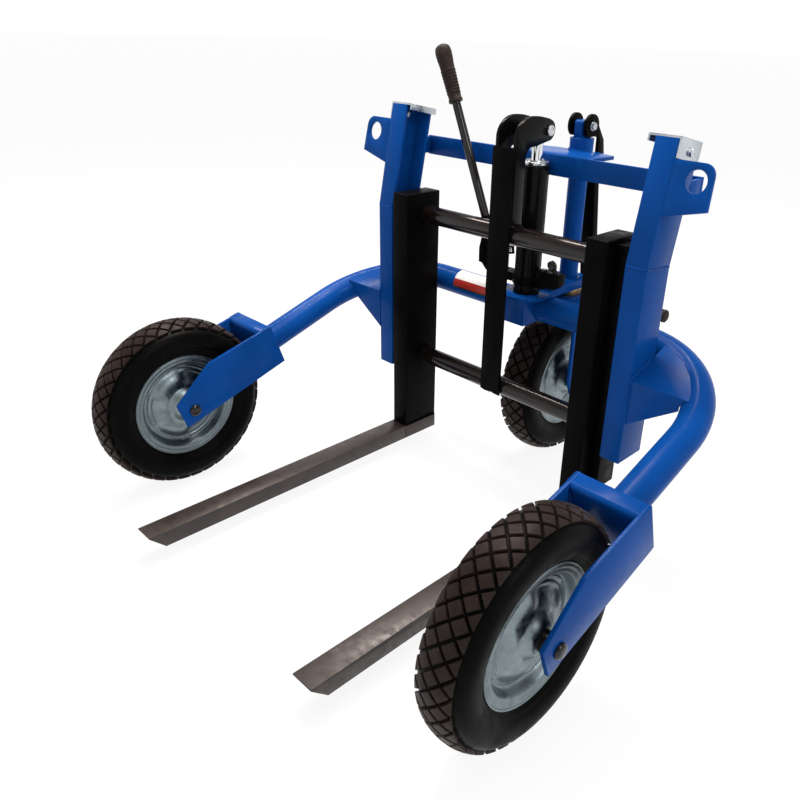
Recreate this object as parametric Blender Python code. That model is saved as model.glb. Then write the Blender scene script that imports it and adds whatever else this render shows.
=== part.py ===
"""Manual rough-terrain pallet truck with fixed forks, built as separate named pieces.

Metres. Up is +Z, the ground is z = 0, the fork tips point to -Y and the steering
wheel is at +Y. Left is -X and right is +X, seen from behind the truck.
"""
import math

import bmesh
import bpy
from mathutils import Matrix, Vector

GAP = 0.0003
WHEEL_STEPS = 28
TUBE_STEPS = 16
BEND_STEPS = 7

# Wheels: a 16 inch (400 mm) pneumatic tyre sets the scale of the whole truck.
TYRE_R = 0.200
TYRE_HALF_W = 0.0485
RIM_R = 0.123
RIM_HALF_W = 0.0335
SEAT_R = 0.1157
HUB_R = 0.018
AXLE_R = 0.010
FRONT_X = 0.521
FRONT_Y = -0.380
REAR_Y = 0.413

# Frame tube: a flat U lying in a plane that slopes down to the front wheels.
TUBE_R = 0.032
TUBE_WALL = 0.004
TUBE_X = 0.521
TUBE_Y = 0.279
TUBE_Z = 0.424
TUBE_BEND = 0.229
AXLE_S = 0.696
SLOPE = math.asin((TUBE_Z - TYRE_R) / AXLE_S)
HEAD_S0 = 0.440
HEAD_S1 = 0.477
PLATE = 0.008

# Front wheel yokes.
ARM_IN = 0.450
ARM_OUT = 0.592

# Mast channels.
MAST_IN = 0.324
MAST_OUT = 0.370
MAST_Y0 = 0.120
MAST_Y1 = 0.206
MAST_Z0 = 0.210
MAST_BEND_Z = 0.622
MAST_TILT = math.radians(11.24)
MAST_TOP = 0.233
MAST_T = 0.008
STOP_DEPTH = 0.043
STOP_HEIGHT = 0.214

# Fork carriage.
POST_IN = 0.247
POST_OUT = 0.295
POST_Y0 = 0.098
POST_Y1 = 0.205
POST_Z1 = 0.664
FORK_Z0 = 0.029
FORK_Z1 = 0.065
FORK_TIP_Y = -0.613
FORK_TIP_CUT = 0.033
FORK_TIP_T = 0.003
HEEL_STEP = 0.0005
BAR_R = 0.021
BAR_Y = 0.1635
BAR_ZS = (0.2535, 0.613)

# Lifting jack and pump.
JACK_Y = 0.248
JACK_R = 0.031
JACK_Z0 = 0.4646
JACK_Z1 = 0.7515
RAM_R = 0.0125
PIN_Z = 0.824
PIN_R = 0.0095
PIVOT = Vector((-0.125, JACK_Y, 0.5375))
PIVOT_BORE_R = 0.0053
LEVER_ANGLE = math.radians(23.7)
LEVER_FOOT = Vector((0.022, 0.0, 0.0))
LEVER_R = 0.010
PLUNGER_X = -0.067
PLUNGER_R = 0.008
PLUNGER_PIN_Z = 0.5472
PUMP_Z0 = 0.4850
PUMP_Z1 = 0.5050
VALVE_X1 = 0.096
VALVE_Z1 = 0.5255
RELEASE = Vector((0.086, JACK_Y, 0.5180))
RELEASE_LEAN = math.radians(40.0)

# Steering.
COLUMN_R = 0.0225
COLUMN_HOLE_R = 0.0229
HINGE_Z = 0.822
YOKE_HALF_IN = 0.068
YOKE_TOP_Z = 0.418


def clear_scene():
    for obj in list(bpy.data.objects):
        bpy.data.objects.remove(obj, do_unlink=True)
    for mesh in list(bpy.data.meshes):
        bpy.data.meshes.remove(mesh)
    for mat in list(bpy.data.materials):
        bpy.data.materials.remove(mat)


def material(name, colour, roughness, metallic):
    mat = bpy.data.materials.new(name)
    mat.use_nodes = True
    shader = mat.node_tree.nodes["Principled BSDF"]
    shader.inputs["Base Color"].default_value = (*colour, 1.0)
    shader.inputs["Roughness"].default_value = roughness
    shader.inputs["Metallic"].default_value = metallic
    mat.diffuse_color = (*colour, 1.0)
    return mat


LOOKS = {
    "blue": ((0.012, 0.085, 0.38), 0.35, 0.0),
    "black": ((0.012, 0.011, 0.010), 0.35, 0.0),
    "zinc": ((0.55, 0.60, 0.62), 0.35, 1.0),
    "steel": ((0.60, 0.60, 0.60), 0.30, 1.0),
    "chrome": ((0.80, 0.80, 0.80), 0.10, 1.0),
    "tyre": ((0.012, 0.012, 0.012), 0.80, 0.0),
    "grip": ((0.030, 0.024, 0.022), 0.70, 0.0),
    "nylon": ((0.75, 0.73, 0.66), 0.50, 0.0),
    "bronze": ((0.45, 0.28, 0.12), 0.35, 1.0),
    "label": ((0.85, 0.85, 0.83), 0.45, 0.0),
}


def add_object(name, bm, look, origin=None):
    """Turn a bmesh in world coordinates into an object whose origin is given."""
    bmesh.ops.recalc_face_normals(bm, faces=bm.faces)
    centre = Vector(origin) if origin is not None else Vector((0.0, 0.0, 0.0))
    bmesh.ops.translate(bm, verts=bm.verts, vec=-centre)
    mesh = bpy.data.meshes.new(name)
    bm.to_mesh(mesh)
    bm.free()
    obj = bpy.data.objects.new(name, mesh)
    obj.location = centre
    bpy.context.scene.collection.objects.link(obj)
    mesh.materials.append(material(name + "_material", *LOOKS[look]))
    return obj


def smooth(obj, angle=35.0):
    obj.data.shade_smooth()
    obj.data.set_sharp_from_angle(angle=math.radians(angle))
    return obj


def prism_bm(points, axis, low, high, bm=None):
    """Extrude a closed outline along an axis; outline is in the other two axes."""
    bm = bm or bmesh.new()
    place = {
        "x": lambda a, b, h: (h, a, b),
        "y": lambda a, b, h: (a, h, b),
        "z": lambda a, b, h: (a, b, h),
    }[axis]
    bottom = [bm.verts.new(place(a, b, low)) for a, b in points]
    top = [bm.verts.new(place(a, b, high)) for a, b in points]
    bm.faces.new(bottom)
    bm.faces.new(top[::-1])
    count = len(points)
    for i in range(count):
        j = (i + 1) % count
        bm.faces.new((bottom[i], bottom[j], top[j], top[i]))
    return bm


def box_bm(x0, x1, y0, y1, z0, z1, bm=None):
    return prism_bm([(x0, y0), (x1, y0), (x1, y1), (x0, y1)], "z", z0, z1, bm)


def open_box_bm(x0, x1, y0, y1, z0, z1, wall):
    """A box section closed at the top and open at the bottom."""
    bm = bmesh.new()
    outer = [(x0, y0), (x1, y0), (x1, y1), (x0, y1)]
    inner = [(x0 + wall, y0 + wall), (x1 - wall, y0 + wall),
             (x1 - wall, y1 - wall), (x0 + wall, y1 - wall)]
    outer_low = [bm.verts.new((x, y, z0)) for x, y in outer]
    outer_high = [bm.verts.new((x, y, z1)) for x, y in outer]
    inner_low = [bm.verts.new((x, y, z0)) for x, y in inner]
    inner_high = [bm.verts.new((x, y, z1 - wall)) for x, y in inner]
    bm.faces.new(outer_high)
    bm.faces.new(inner_high)
    for i in range(4):
        j = (i + 1) % 4
        bm.faces.new((outer_low[i], outer_low[j], outer_high[j], outer_high[i]))
        bm.faces.new((inner_low[i], inner_low[j], inner_high[j], inner_high[i]))
        bm.faces.new((outer_low[i], outer_low[j], inner_low[j], inner_low[i]))
    return bm


def lathe_bm(profile, axis, centre, segments, bm=None):
    """Revolve a closed (radius, position) outline about an axis through centre."""
    bm = bm or bmesh.new()
    cx, cy, cz = centre
    place = {
        "x": lambda r, h, c, s: (cx + h, cy + r * c, cz + r * s),
        "y": lambda r, h, c, s: (cx + r * c, cy + h, cz + r * s),
        "z": lambda r, h, c, s: (cx + r * c, cy + r * s, cz + h),
    }[axis]
    rings = []
    for radius, height in profile:
        if radius < 1e-9:
            rings.append([bm.verts.new(place(0.0, height, 1.0, 0.0))])
            continue
        ring = []
        for k in range(segments):
            angle = math.tau * k / segments
            ring.append(bm.verts.new(place(radius, height, math.cos(angle), math.sin(angle))))
        rings.append(ring)
    count = len(rings)
    for i in range(count):
        a, b = rings[i], rings[(i + 1) % count]
        if len(a) == 1 and len(b) == 1:
            continue
        for k in range(segments):
            m = (k + 1) % segments
            quad = [a[k % len(a)], a[m % len(a)], b[m % len(b)], b[k % len(b)]]
            face = list(dict.fromkeys(quad))
            bm.faces.new(face)
    return bm


def rod_bm(radius, axis, centre, low, high, segments=16, bm=None):
    profile = [(0.0, low), (radius, low), (radius, high), (0.0, high)]
    return lathe_bm(profile, axis, centre, segments, bm)


def ring_bm(inner, outer, axis, centre, low, high, segments=32, bm=None):
    profile = [(inner, low), (outer, low), (outer, high), (inner, high)]
    return lathe_bm(profile, axis, centre, segments, bm)


def arc_points(cx, cy, radius, start, stop, steps):
    points = []
    for k in range(steps + 1):
        angle = math.radians(start + (stop - start) * k / steps)
        points.append((cx + radius * math.cos(angle), cy + radius * math.sin(angle)))
    return points


def sweep_bm(path, radius, inner, segments, start=0.0, stop=360.0):
    """Sweep a hollow round section, whole or part of a circle, along a path."""
    bm = bmesh.new()
    whole = stop - start > 359.9
    steps = segments if whole else segments + 1
    across = Vector((0.0, -math.sin(SLOPE), math.cos(SLOPE)))
    rows = []
    for i, point in enumerate(path):
        before = path[max(i - 1, 0)]
        after = path[min(i + 1, len(path) - 1)]
        along = (after - before).normalized()
        side = along.cross(across).normalized()
        up = side.cross(along).normalized()
        outer_row = []
        inner_row = []
        for k in range(steps):
            angle = math.radians(start + (stop - start) * k / segments)
            arm = side * math.cos(angle) + up * math.sin(angle)
            outer_row.append(bm.verts.new(point + arm * radius))
            inner_row.append(bm.verts.new(point + arm * inner))
        rows.append((outer_row, inner_row))
    last = steps if whole else steps - 1
    for (o0, i0), (o1, i1) in zip(rows, rows[1:]):
        for k in range(last):
            m = (k + 1) % steps
            bm.faces.new((o0[k], o0[m], o1[m], o1[k]))
            bm.faces.new((i0[k], i0[m], i1[m], i1[k]))
        if not whole:
            bm.faces.new((o0[0], o1[0], i1[0], i0[0]))
            bm.faces.new((o0[-1], o1[-1], i1[-1], i0[-1]))
    for outer_row, inner_row in (rows[0], rows[-1]):
        for k in range(last):
            m = (k + 1) % steps
            bm.faces.new((outer_row[k], outer_row[m], inner_row[m], inner_row[k]))
    return bm


def boolean(obj, other, operation):
    """Apply a Boolean to obj at once and drop the other object."""
    mod = obj.modifiers.new("bool", "BOOLEAN")
    mod.operation = operation
    mod.solver = "EXACT"
    mod.object = other
    bpy.context.view_layer.update()
    graph = bpy.context.evaluated_depsgraph_get()
    mesh = bpy.data.meshes.new_from_object(obj.evaluated_get(graph))
    old = obj.data
    obj.modifiers.clear()
    obj.data = mesh
    bpy.data.meshes.remove(old)
    data = other.data
    bpy.data.objects.remove(other, do_unlink=True)
    bpy.data.meshes.remove(data)
    return obj


def cut(obj, bm):
    return boolean(obj, scratch(bm), "DIFFERENCE")


def join(obj, bm):
    return boolean(obj, scratch(bm), "UNION")


def scratch(bm):
    bmesh.ops.recalc_face_normals(bm, faces=bm.faces)
    mesh = bpy.data.meshes.new("cutter")
    bm.to_mesh(mesh)
    bm.free()
    obj = bpy.data.objects.new("cutter", mesh)
    obj.hide_render = True
    obj.display_type = "WIRE"
    bpy.context.scene.collection.objects.link(obj)
    return obj


def mirror_x(bm):
    bmesh.ops.scale(bm, verts=bm.verts, vec=(-1.0, 1.0, 1.0))
    bmesh.ops.reverse_faces(bm, faces=bm.faces)
    return bm


def sided(bm, side):
    return bm if side > 0 else mirror_x(bm)


def slope_point(x, along, above):
    """A point in the sloping plane of the frame tube."""
    y = TUBE_Y - along * math.cos(SLOPE) - above * math.sin(SLOPE)
    z = TUBE_Z - along * math.sin(SLOPE) + above * math.cos(SLOPE)
    return Vector((x, y, z))


def to_slope(bm):
    """Move a bmesh drawn as (x, along, above) into the frame tube's plane."""
    for vert in bm.verts:
        vert.co = slope_point(*vert.co)
    return bm


def tube_path(end):
    straight = TUBE_X - TUBE_BEND
    half = [slope_point(0.0, 0.0, 0.0), slope_point(straight, 0.0, 0.0)]
    for k in range(1, BEND_STEPS + 1):
        angle = 0.5 * math.pi * k / BEND_STEPS
        x = straight + TUBE_BEND * math.sin(angle)
        half.append(slope_point(x, TUBE_BEND * (1.0 - math.cos(angle)), 0.0))
    half.append(slope_point(TUBE_X, end, 0.0))
    mirrored = [Vector((-p.x, p.y, p.z)) for p in half[:0:-1]]
    return mirrored + half


def tube_cutter():
    path = tube_path(HEAD_S1)
    bm = bmesh.new()
    radius = TUBE_R + GAP
    across = Vector((0.0, -math.sin(SLOPE), math.cos(SLOPE)))
    rows = []
    for i, point in enumerate(path):
        before = path[max(i - 1, 0)]
        after = path[min(i + 1, len(path) - 1)]
        along = (after - before).normalized()
        side = along.cross(across).normalized()
        up = side.cross(along).normalized()
        rows.append([
            bm.verts.new(point + (side * math.cos(math.tau * k / TUBE_STEPS)
                                  + up * math.sin(math.tau * k / TUBE_STEPS)) * radius)
            for k in range(TUBE_STEPS)
        ])
    for a, b in zip(rows, rows[1:]):
        for k in range(TUBE_STEPS):
            m = (k + 1) % TUBE_STEPS
            bm.faces.new((a[k], a[m], b[m], b[k]))
    bm.faces.new(rows[0])
    bm.faces.new(rows[-1][::-1])
    return bm


def build_frame_tube():
    path = tube_path(HEAD_S1 - PLATE - GAP)
    bm = sweep_bm(path, TUBE_R, TUBE_R - TUBE_WALL, TUBE_STEPS)
    smooth(add_object("frame_tube", bm, "blue"))


def build_wheel_yoke(side, tag):
    outline = [(HEAD_S0, -0.0320), (0.728, -0.0300), (0.728, 0.0330),
               (0.617, 0.0820), (HEAD_S1, 0.0745), (HEAD_S0, 0.0720)]
    arm = to_slope(prism_bm(outline, "x", ARM_OUT - PLATE, ARM_OUT))
    yoke = add_object("wheel_yoke_" + tag, sided(arm, side), "blue")
    other = to_slope(prism_bm(outline, "x", ARM_IN, ARM_IN + PLATE))
    lip = 0.004
    rear = HEAD_S0 + 0.0007
    head = [(rear, 0.0640), (HEAD_S1 - PLATE, 0.0640), (HEAD_S1 - PLATE, -0.0290),
            (HEAD_S1 + 0.0003, -0.0290), (HEAD_S1 + 0.0003, 0.0735 - lip),
            (HEAD_S1 - lip, 0.0735), (rear, 0.0713)]
    span = (ARM_IN + 0.002, ARM_OUT - 0.002)
    join(yoke, sided(to_slope(prism_bm(head, "x", *span)), side))
    join(yoke, sided(other, side))
    hole = rod_bm(AXLE_R + GAP, "x", (0.0, FRONT_Y, TYRE_R), 0.40, 0.62)
    cut(yoke, sided(hole, side))


def axle_profile(face, head_r, head_h):
    """Outline of an axle bolt with a domed head beyond each face."""
    half = [(AXLE_R, face), (head_r, face), (head_r, face + head_h * 0.4),
            (head_r * 0.7, face + head_h), (0.0, face + head_h)]
    return [(r, -x) for r, x in half[::-1]] + half


def build_wheel(tag, centre, half_gap):
    """Rim, tyre, bearing tube and axle of one wheel that turns about X."""
    w = RIM_HALF_W
    half = [(HUB_R + GAP, 0.046), (0.0250, 0.046), (0.0320, 0.034), (0.0600, 0.011),
            (0.0980, 0.007), (0.1080, w - 0.003), (RIM_R, w), (SEAT_R, w - 0.0045)]
    rim = [(r, -x) for r, x in half] + half[::-1]
    bm = lathe_bm(rim, "x", centre, WHEEL_STEPS)
    smooth(add_object("rim_" + tag, bm, "zinc", centre))
    h = TYRE_HALF_W
    bead = w - 0.0050
    outer = [(SEAT_R + GAP, bead), (RIM_R + 0.0015, bead + 0.0045), (0.136, h - 0.0050),
             (0.152, h), (0.165, h), (0.178, h - 0.0030), (0.187, h - 0.0090),
             (0.194, 0.0300), (TYRE_R - 0.0012, 0.0140), (TYRE_R, 0.0040)]
    inner = [(0.186, 0.0200), (0.174, 0.0340), (0.158, 0.0400), (0.138, 0.0340),
             (SEAT_R + GAP, 0.0170)]
    profile = outer + [(r, -x) for r, x in outer[::-1]]
    profile += [(r, -x) for r, x in inner[::-1]] + inner
    bm = lathe_bm(profile, "x", centre, WHEEL_STEPS)
    smooth(add_object("tyre_" + tag, bm, "tyre", centre))
    hub = half_gap - 0.0015
    sleeve = [(AXLE_R + GAP, -hub), (0.0150, -hub), (HUB_R, -0.047), (HUB_R, 0.047),
              (0.0150, hub), (AXLE_R + GAP, hub)]
    bm = lathe_bm(sleeve, "x", centre, 16)
    smooth(add_object("bearing_" + tag, bm, "black", centre))
    face = half_gap + PLATE + GAP
    bm = lathe_bm(axle_profile(face, 0.0135, 0.0080), "x", centre, 16)
    smooth(add_object("axle_" + tag, bm, "black", centre))


def mast_outline():
    y0, y1, t = MAST_Y0, MAST_Y1, MAST_T
    return [(MAST_IN, y0), (MAST_OUT, y0), (MAST_OUT, y1), (MAST_IN, y1),
            (MAST_IN, y1 - t), (MAST_OUT - t, y1 - t), (MAST_OUT - t, y0 + t),
            (MAST_IN, y0 + t)]


def tilted(x, depth, height):
    """A point on the leaning upper mast: depth behind the front face."""
    sin, cos = math.sin(MAST_TILT), math.cos(MAST_TILT)
    y = MAST_Y0 + height * sin + depth * cos
    z = MAST_BEND_Z + height * cos - depth * sin
    return Vector((x, y, z))


def mitre(depth, clearance):
    """Height of the bend line above the front corner, on the upper piece."""
    return depth * math.tan(0.5 * MAST_TILT) + clearance


def build_mast(side, tag):
    bm = bmesh.new()
    low = []
    high = []
    for x, y in mast_outline():
        drop = (y - MAST_Y0) * math.tan(0.5 * MAST_TILT)
        low.append(bm.verts.new((x, y, MAST_Z0)))
        high.append(bm.verts.new((x, y, MAST_BEND_Z - drop)))
    loft(bm, low, high)
    add_object("mast_lower_" + tag, sided(bm, side), "blue")
    bm = bmesh.new()
    low = []
    high = []
    for x, y in mast_outline():
        depth = y - MAST_Y0
        low.append(bm.verts.new(tilted(x, depth, mitre(depth, GAP))))
        high.append(bm.verts.new(tilted(x, depth, MAST_TOP)))
    loft(bm, low, high)
    upper = add_object("mast_upper_" + tag, sided(bm, side), "blue")
    join(upper, sided(ear_bm(), side))
    cut(upper, sided(lean(rod_bm(0.0205, "y", (0.4195, 0.0, 0.1665), -0.02, 0.03)), side))
    cut(upper, sided(lean(stop_hole_bm()), side))


def stop_hole_bm():
    """Cutter for the cross bolt that holds the stop bracket."""
    return rod_bm(0.0055, "x", (0.0, STOP_DEPTH, STOP_HEIGHT), 0.345, 0.390, 16)


def loft(bm, low, high):
    bm.faces.new(low)
    bm.faces.new(high[::-1])
    count = len(low)
    for i in range(count):
        j = (i + 1) % count
        bm.faces.new((low[i], low[j], high[j], high[i]))


def ear_bm():
    """Lashing plate beside the top of the mast, flush with its front."""
    x0 = MAST_OUT - 0.004
    outline = [(x0, 0.0980), (0.4530, 0.1190), (0.4500, 0.1780)]
    outline += arc_points(0.4280, 0.1770, 0.0220, 15.0, 90.0, 5)
    outline += [(x0, 0.1990)]
    return lean(prism_bm(outline, "y", 0.0006, PLATE + 0.0006))


def lean(bm):
    """Move a bmesh drawn as (x, depth, height) onto the leaning upper mast."""
    for vert in bm.verts:
        vert.co = tilted(*vert.co)
    return bm


def build_stop_bracket(side, tag):
    """Bent zinc clip over the mast top: stops the carriage at full lift."""
    t = 0.004
    top = MAST_TOP + GAP
    out = MAST_OUT + GAP
    lip = 0.3075
    outline = [(out, 0.2000), (out + t, 0.2000), (out + t, top + 0.0025),
               (out + t - 0.0015, top + t), (lip + 0.0025, top + t), (lip, top + 0.0025),
               (lip, top - 0.0100), (lip + t, top - 0.0100), (lip + t, top), (out, top)]
    bracket = lean(prism_bm(outline, "y", 0.002, 0.084))
    bracket = add_object("stop_bracket_" + tag, sided(bracket, side), "zinc")
    cut(bracket, sided(lean(stop_hole_bm()), side))
    head = out + t + GAP
    tail = MAST_OUT - MAST_T - GAP
    profile = [(0.0, head + 0.006), (0.0085, head + 0.006), (0.0085, head), (0.0050, head),
               (0.0050, tail), (0.0080, tail), (0.0080, tail - 0.007), (0.0, tail - 0.007)]
    bolt = lean(lathe_bm(profile, "x", (0.0, STOP_DEPTH, STOP_HEIGHT), 16))
    smooth(add_object("stop_bolt_" + tag, sided(bolt, side), "zinc"))


def build_crossbar():
    """Flat cross member behind the masts, with welded returns at both ends."""
    y0, y1 = 0.283, 0.291
    z0, z1 = 0.727, 0.7715
    bar = add_object("crossbar", box_bm(-0.368, 0.368, y0, y1, z0, z1), "blue")
    rear = MAST_Y1 - MAST_Y0
    for side in (-1.0, 1.0):
        foot = tilted(0.0, rear + 0.0006, 0.127)
        head = tilted(0.0, rear + 0.0006, 0.1660)
        outline = [(foot.y, foot.z), (y0 + 0.002, z0 + 0.004), (y0 + 0.002, z1 - 0.002),
                   (head.y, head.z)]
        join(bar, sided(prism_bm(outline, "x", 0.3595, 0.3675), side))


def build_column_plate():
    """Plate behind the crossbar that carries the upper steering sleeve."""
    outline = [(-0.108, 0.2913), (0.108, 0.2913), (0.108, 0.385), (0.060, 0.400),
               (-0.060, 0.400), (-0.108, 0.385)]
    plate = add_object("column_plate", prism_bm(outline, "z", 0.762, 0.770), "blue")
    cut(plate, rod_bm(0.0275 + GAP, "z", (0.0, REAR_Y, 0.0), 0.70, 0.80, 32))
    bm = ring_bm(COLUMN_HOLE_R, 0.0275, "z", (0.0, REAR_Y, 0.0), 0.735, 0.7955, 32)
    smooth(add_object("column_sleeve", bm, "blue"))


def build_side_bracket(side, tag):
    """Top plate and upright gusset between a mast and the frame tube."""
    x0 = MAST_OUT + GAP

    def along(y, above):
        return (TUBE_Y - above * math.sin(SLOPE) - y) / math.cos(SLOPE)

    outline = [(x0, along(0.1200, 0.026)), (0.500, along(0.1200, 0.026)),
               (0.497, along(0.1500, 0.026)), (0.478, along(0.1950, 0.026)),
               (0.440, along(0.2300, 0.026)), (0.400, along(0.2500, 0.026)),
               (x0, along(0.2580, 0.026))]
    top = to_slope(prism_bm(outline, "z", 0.022, 0.030))
    bracket = add_object("side_bracket_" + tag, sided(top, side), "blue")
    upright = [(x0, 0.3030), (0.5000, 0.3880), (0.5000, 0.3960), (x0, 0.3960)]
    join(bracket, sided(prism_bm(upright, "y", 0.1205, 0.1285), side))
    cut(bracket, tube_cutter())


def build_jack_seat():
    """Rounded plate on the frame tube with a box under its front half."""
    outline = arc_points(0.0, JACK_Y, 0.058, 180.0, 360.0, 12)
    outline += [(0.058, 0.2885), (-0.058, 0.2885)]
    seat = add_object("jack_seat", prism_bm(outline, "z", 0.4563, 0.4643), "blue")
    join(seat, box_bm(-0.046, 0.030, 0.2060, 0.2700, 0.3950, 0.4580))
    cut(seat, tube_cutter())


def build_steer_housing():
    """Lower steering bearing block behind the frame tube, with its bush."""
    outline = [(-0.042, 0.2890), (0.042, 0.2890)]
    outline += arc_points(0.0, REAR_Y, 0.042, 0.0, 180.0, 12)
    block = add_object("steer_housing", prism_bm(outline, "z", 0.448, 0.470), "blue")
    cut(block, rod_bm(COLUMN_HOLE_R, "z", (0.0, REAR_Y, 0.0), 0.40, 0.50, 32))
    cut(block, tube_cutter())
    centre = (0.0, REAR_Y, 0.0)
    bm = ring_bm(COLUMN_HOLE_R, 0.036, "z", centre, 0.4283, 0.4477, 32)
    smooth(add_object("steer_bush", bm, "bronze"))


def build_label():
    path = [Vector((-0.232, TUBE_Y, TUBE_Z)), Vector((-0.100, TUBE_Y, TUBE_Z))]
    bm = bmesh.new()
    rows = []
    for point in path:
        row = []
        for k in range(9):
            angle = math.radians(-8.0 + 96.0 * k / 8)
            arm = Vector((0.0, -math.cos(angle), math.sin(angle)))
            row.append((bm.verts.new(point + arm * (TUBE_R + 0.0012)),
                        bm.verts.new(point + arm * (TUBE_R + GAP))))
        rows.append(row)
    a, b = rows
    for k in range(8):
        bm.faces.new((a[k][0], a[k + 1][0], b[k + 1][0], b[k][0]))
        bm.faces.new((a[k][1], a[k + 1][1], b[k + 1][1], b[k][1]))
        for row in rows:
            bm.faces.new((row[k][0], row[k + 1][0], row[k + 1][1], row[k][1]))
    bm.faces.new((a[0][0], b[0][0], b[0][1], a[0][1]))
    bm.faces.new((a[8][0], b[8][0], b[8][1], a[8][1]))
    smooth(add_object("label_plate", bm, "label"))


def build_carriage():
    for side, tag in ((-1.0, "left"), (1.0, "right")):
        heel = FORK_Z1 - HEEL_STEP
        post = open_box_bm(POST_IN, POST_OUT, POST_Y0, POST_Y1, heel + GAP, POST_Z1, 0.005)
        add_object("post_" + tag, sided(post, side), "black")
        front = POST_Y0 - GAP
        outline = [(POST_Y1, FORK_Z0), (POST_Y1, heel), (front, heel), (front, FORK_Z1),
                   (FORK_TIP_Y, FORK_Z1), (FORK_TIP_Y, FORK_Z1 - FORK_TIP_T),
                   (FORK_TIP_Y + FORK_TIP_CUT, FORK_Z0)]
        fork = prism_bm(outline, "x", POST_IN - 0.001, POST_OUT + 0.001)
        add_object("fork_" + tag, sided(fork, side), "black")
        rail = box_bm(POST_OUT + GAP, MAST_IN - 0.003, 0.132, 0.194, 0.120, 0.655)
        add_object("guide_rail_" + tag, sided(rail, side), "black")
        pad = box_bm(MAST_IN - 0.003 + GAP, MAST_OUT - MAST_T - 0.0015,
                     MAST_Y0 + MAST_T + 0.001, MAST_Y1 - MAST_T - 0.001, 0.230, 0.425)
        add_object("slide_pad_" + tag, sided(pad, side), "nylon")
    reach = POST_IN - GAP
    for z, tag in zip(BAR_ZS, ("lower", "upper")):
        centre = (0.0, BAR_Y, z)
        bm = ring_bm(BAR_R - 0.004, BAR_R, "x", centre, -reach, reach, 20)
        smooth(add_object("bar_" + tag, bm, "black"))


def ear_outline():
    """Side view (y, z) of one cheek of the lift channel, hooked over the ram."""
    points = [(0.1423, 0.6360), (0.1770, 0.6360), (0.1750, 0.7687), (0.1880, 0.7940)]
    points += [(0.2100, 0.7945), (0.2330, 0.8010)]
    points += arc_points(JACK_Y, PIN_Z, 0.0220, -70.0, 60.0, 8)
    points += [(0.2400, 0.8490), (0.2180, 0.8535), (0.1920, 0.8550), (0.1680, 0.8500),
               (0.1510, 0.8370), (0.1423, 0.8180)]
    return points


def build_lift_channel():
    face = box_bm(-0.028, 0.028, 0.1340, 0.1420, 0.2420, 0.7960)
    channel = add_object("lift_channel", face, "black")
    for side in (-1.0, 1.0):
        outline = [(max(y - 0.0005, 0.1415) if y < 0.1424 else y, z) for y, z in ear_outline()]
        join(channel, sided(prism_bm(outline, "x", 0.0200, 0.0280), side))
    cut(channel, rod_bm(PIN_R + GAP, "x", (0.0, JACK_Y, PIN_Z), -0.05, 0.05))
    for z in BAR_ZS:
        cut(channel, rod_bm(BAR_R + GAP, "x", (0.0, BAR_Y, z), -0.05, 0.05, 20))
    ends = 0.0290
    profile = [(0.0, -ends - 0.006), (0.0110, -ends - 0.006), (0.0110, -ends), (PIN_R, -ends),
               (PIN_R, ends), (0.0110, ends), (0.0110, ends + 0.006), (0.0, ends + 0.006)]
    bm = lathe_bm(profile, "x", (0.0, JACK_Y, PIN_Z), 16)
    smooth(add_object("lift_pin", bm, "steel"))


def build_jack():
    centre = (0.0, JACK_Y, 0.0)
    bore = RAM_R + GAP
    profile = [(0.0, JACK_Z0), (JACK_R - 0.003, JACK_Z0), (JACK_R, JACK_Z0 + 0.003),
               (JACK_R, JACK_Z1), (0.0240, JACK_Z1), (0.0240, 0.5000), (0.0, 0.5000)]
    smooth(add_object("jack_cylinder", lathe_bm(profile, "z", centre, 24), "black"))
    low = JACK_Z1 - 0.012
    profile = [(bore, low), (0.0237, low), (0.0237, JACK_Z1 + GAP), (0.0285, JACK_Z1 + GAP),
               (0.0285, JACK_Z1 + 0.0070), (0.0250, JACK_Z1 + 0.0100), (bore, JACK_Z1 + 0.0100)]
    smooth(add_object("jack_gland", lathe_bm(profile, "z", centre, 24), "steel"))
    crown = PIN_Z - 0.012
    profile = [(0.0, 0.515), (RAM_R, 0.515), (RAM_R, crown), (0.0, crown)]
    ram = smooth(add_object("ram", lathe_bm(profile, "z", centre, 16), "chrome"))
    eye = box_bm(-0.0180, 0.0180, JACK_Y - 0.0120, JACK_Y + 0.0120, PIN_Z - 0.0180, PIN_Z + 0.0130)
    join(ram, eye)
    cut(ram, rod_bm(PIN_R + GAP, "x", (0.0, JACK_Y, PIN_Z), -0.05, 0.05))
    build_pump_block(centre)


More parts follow.
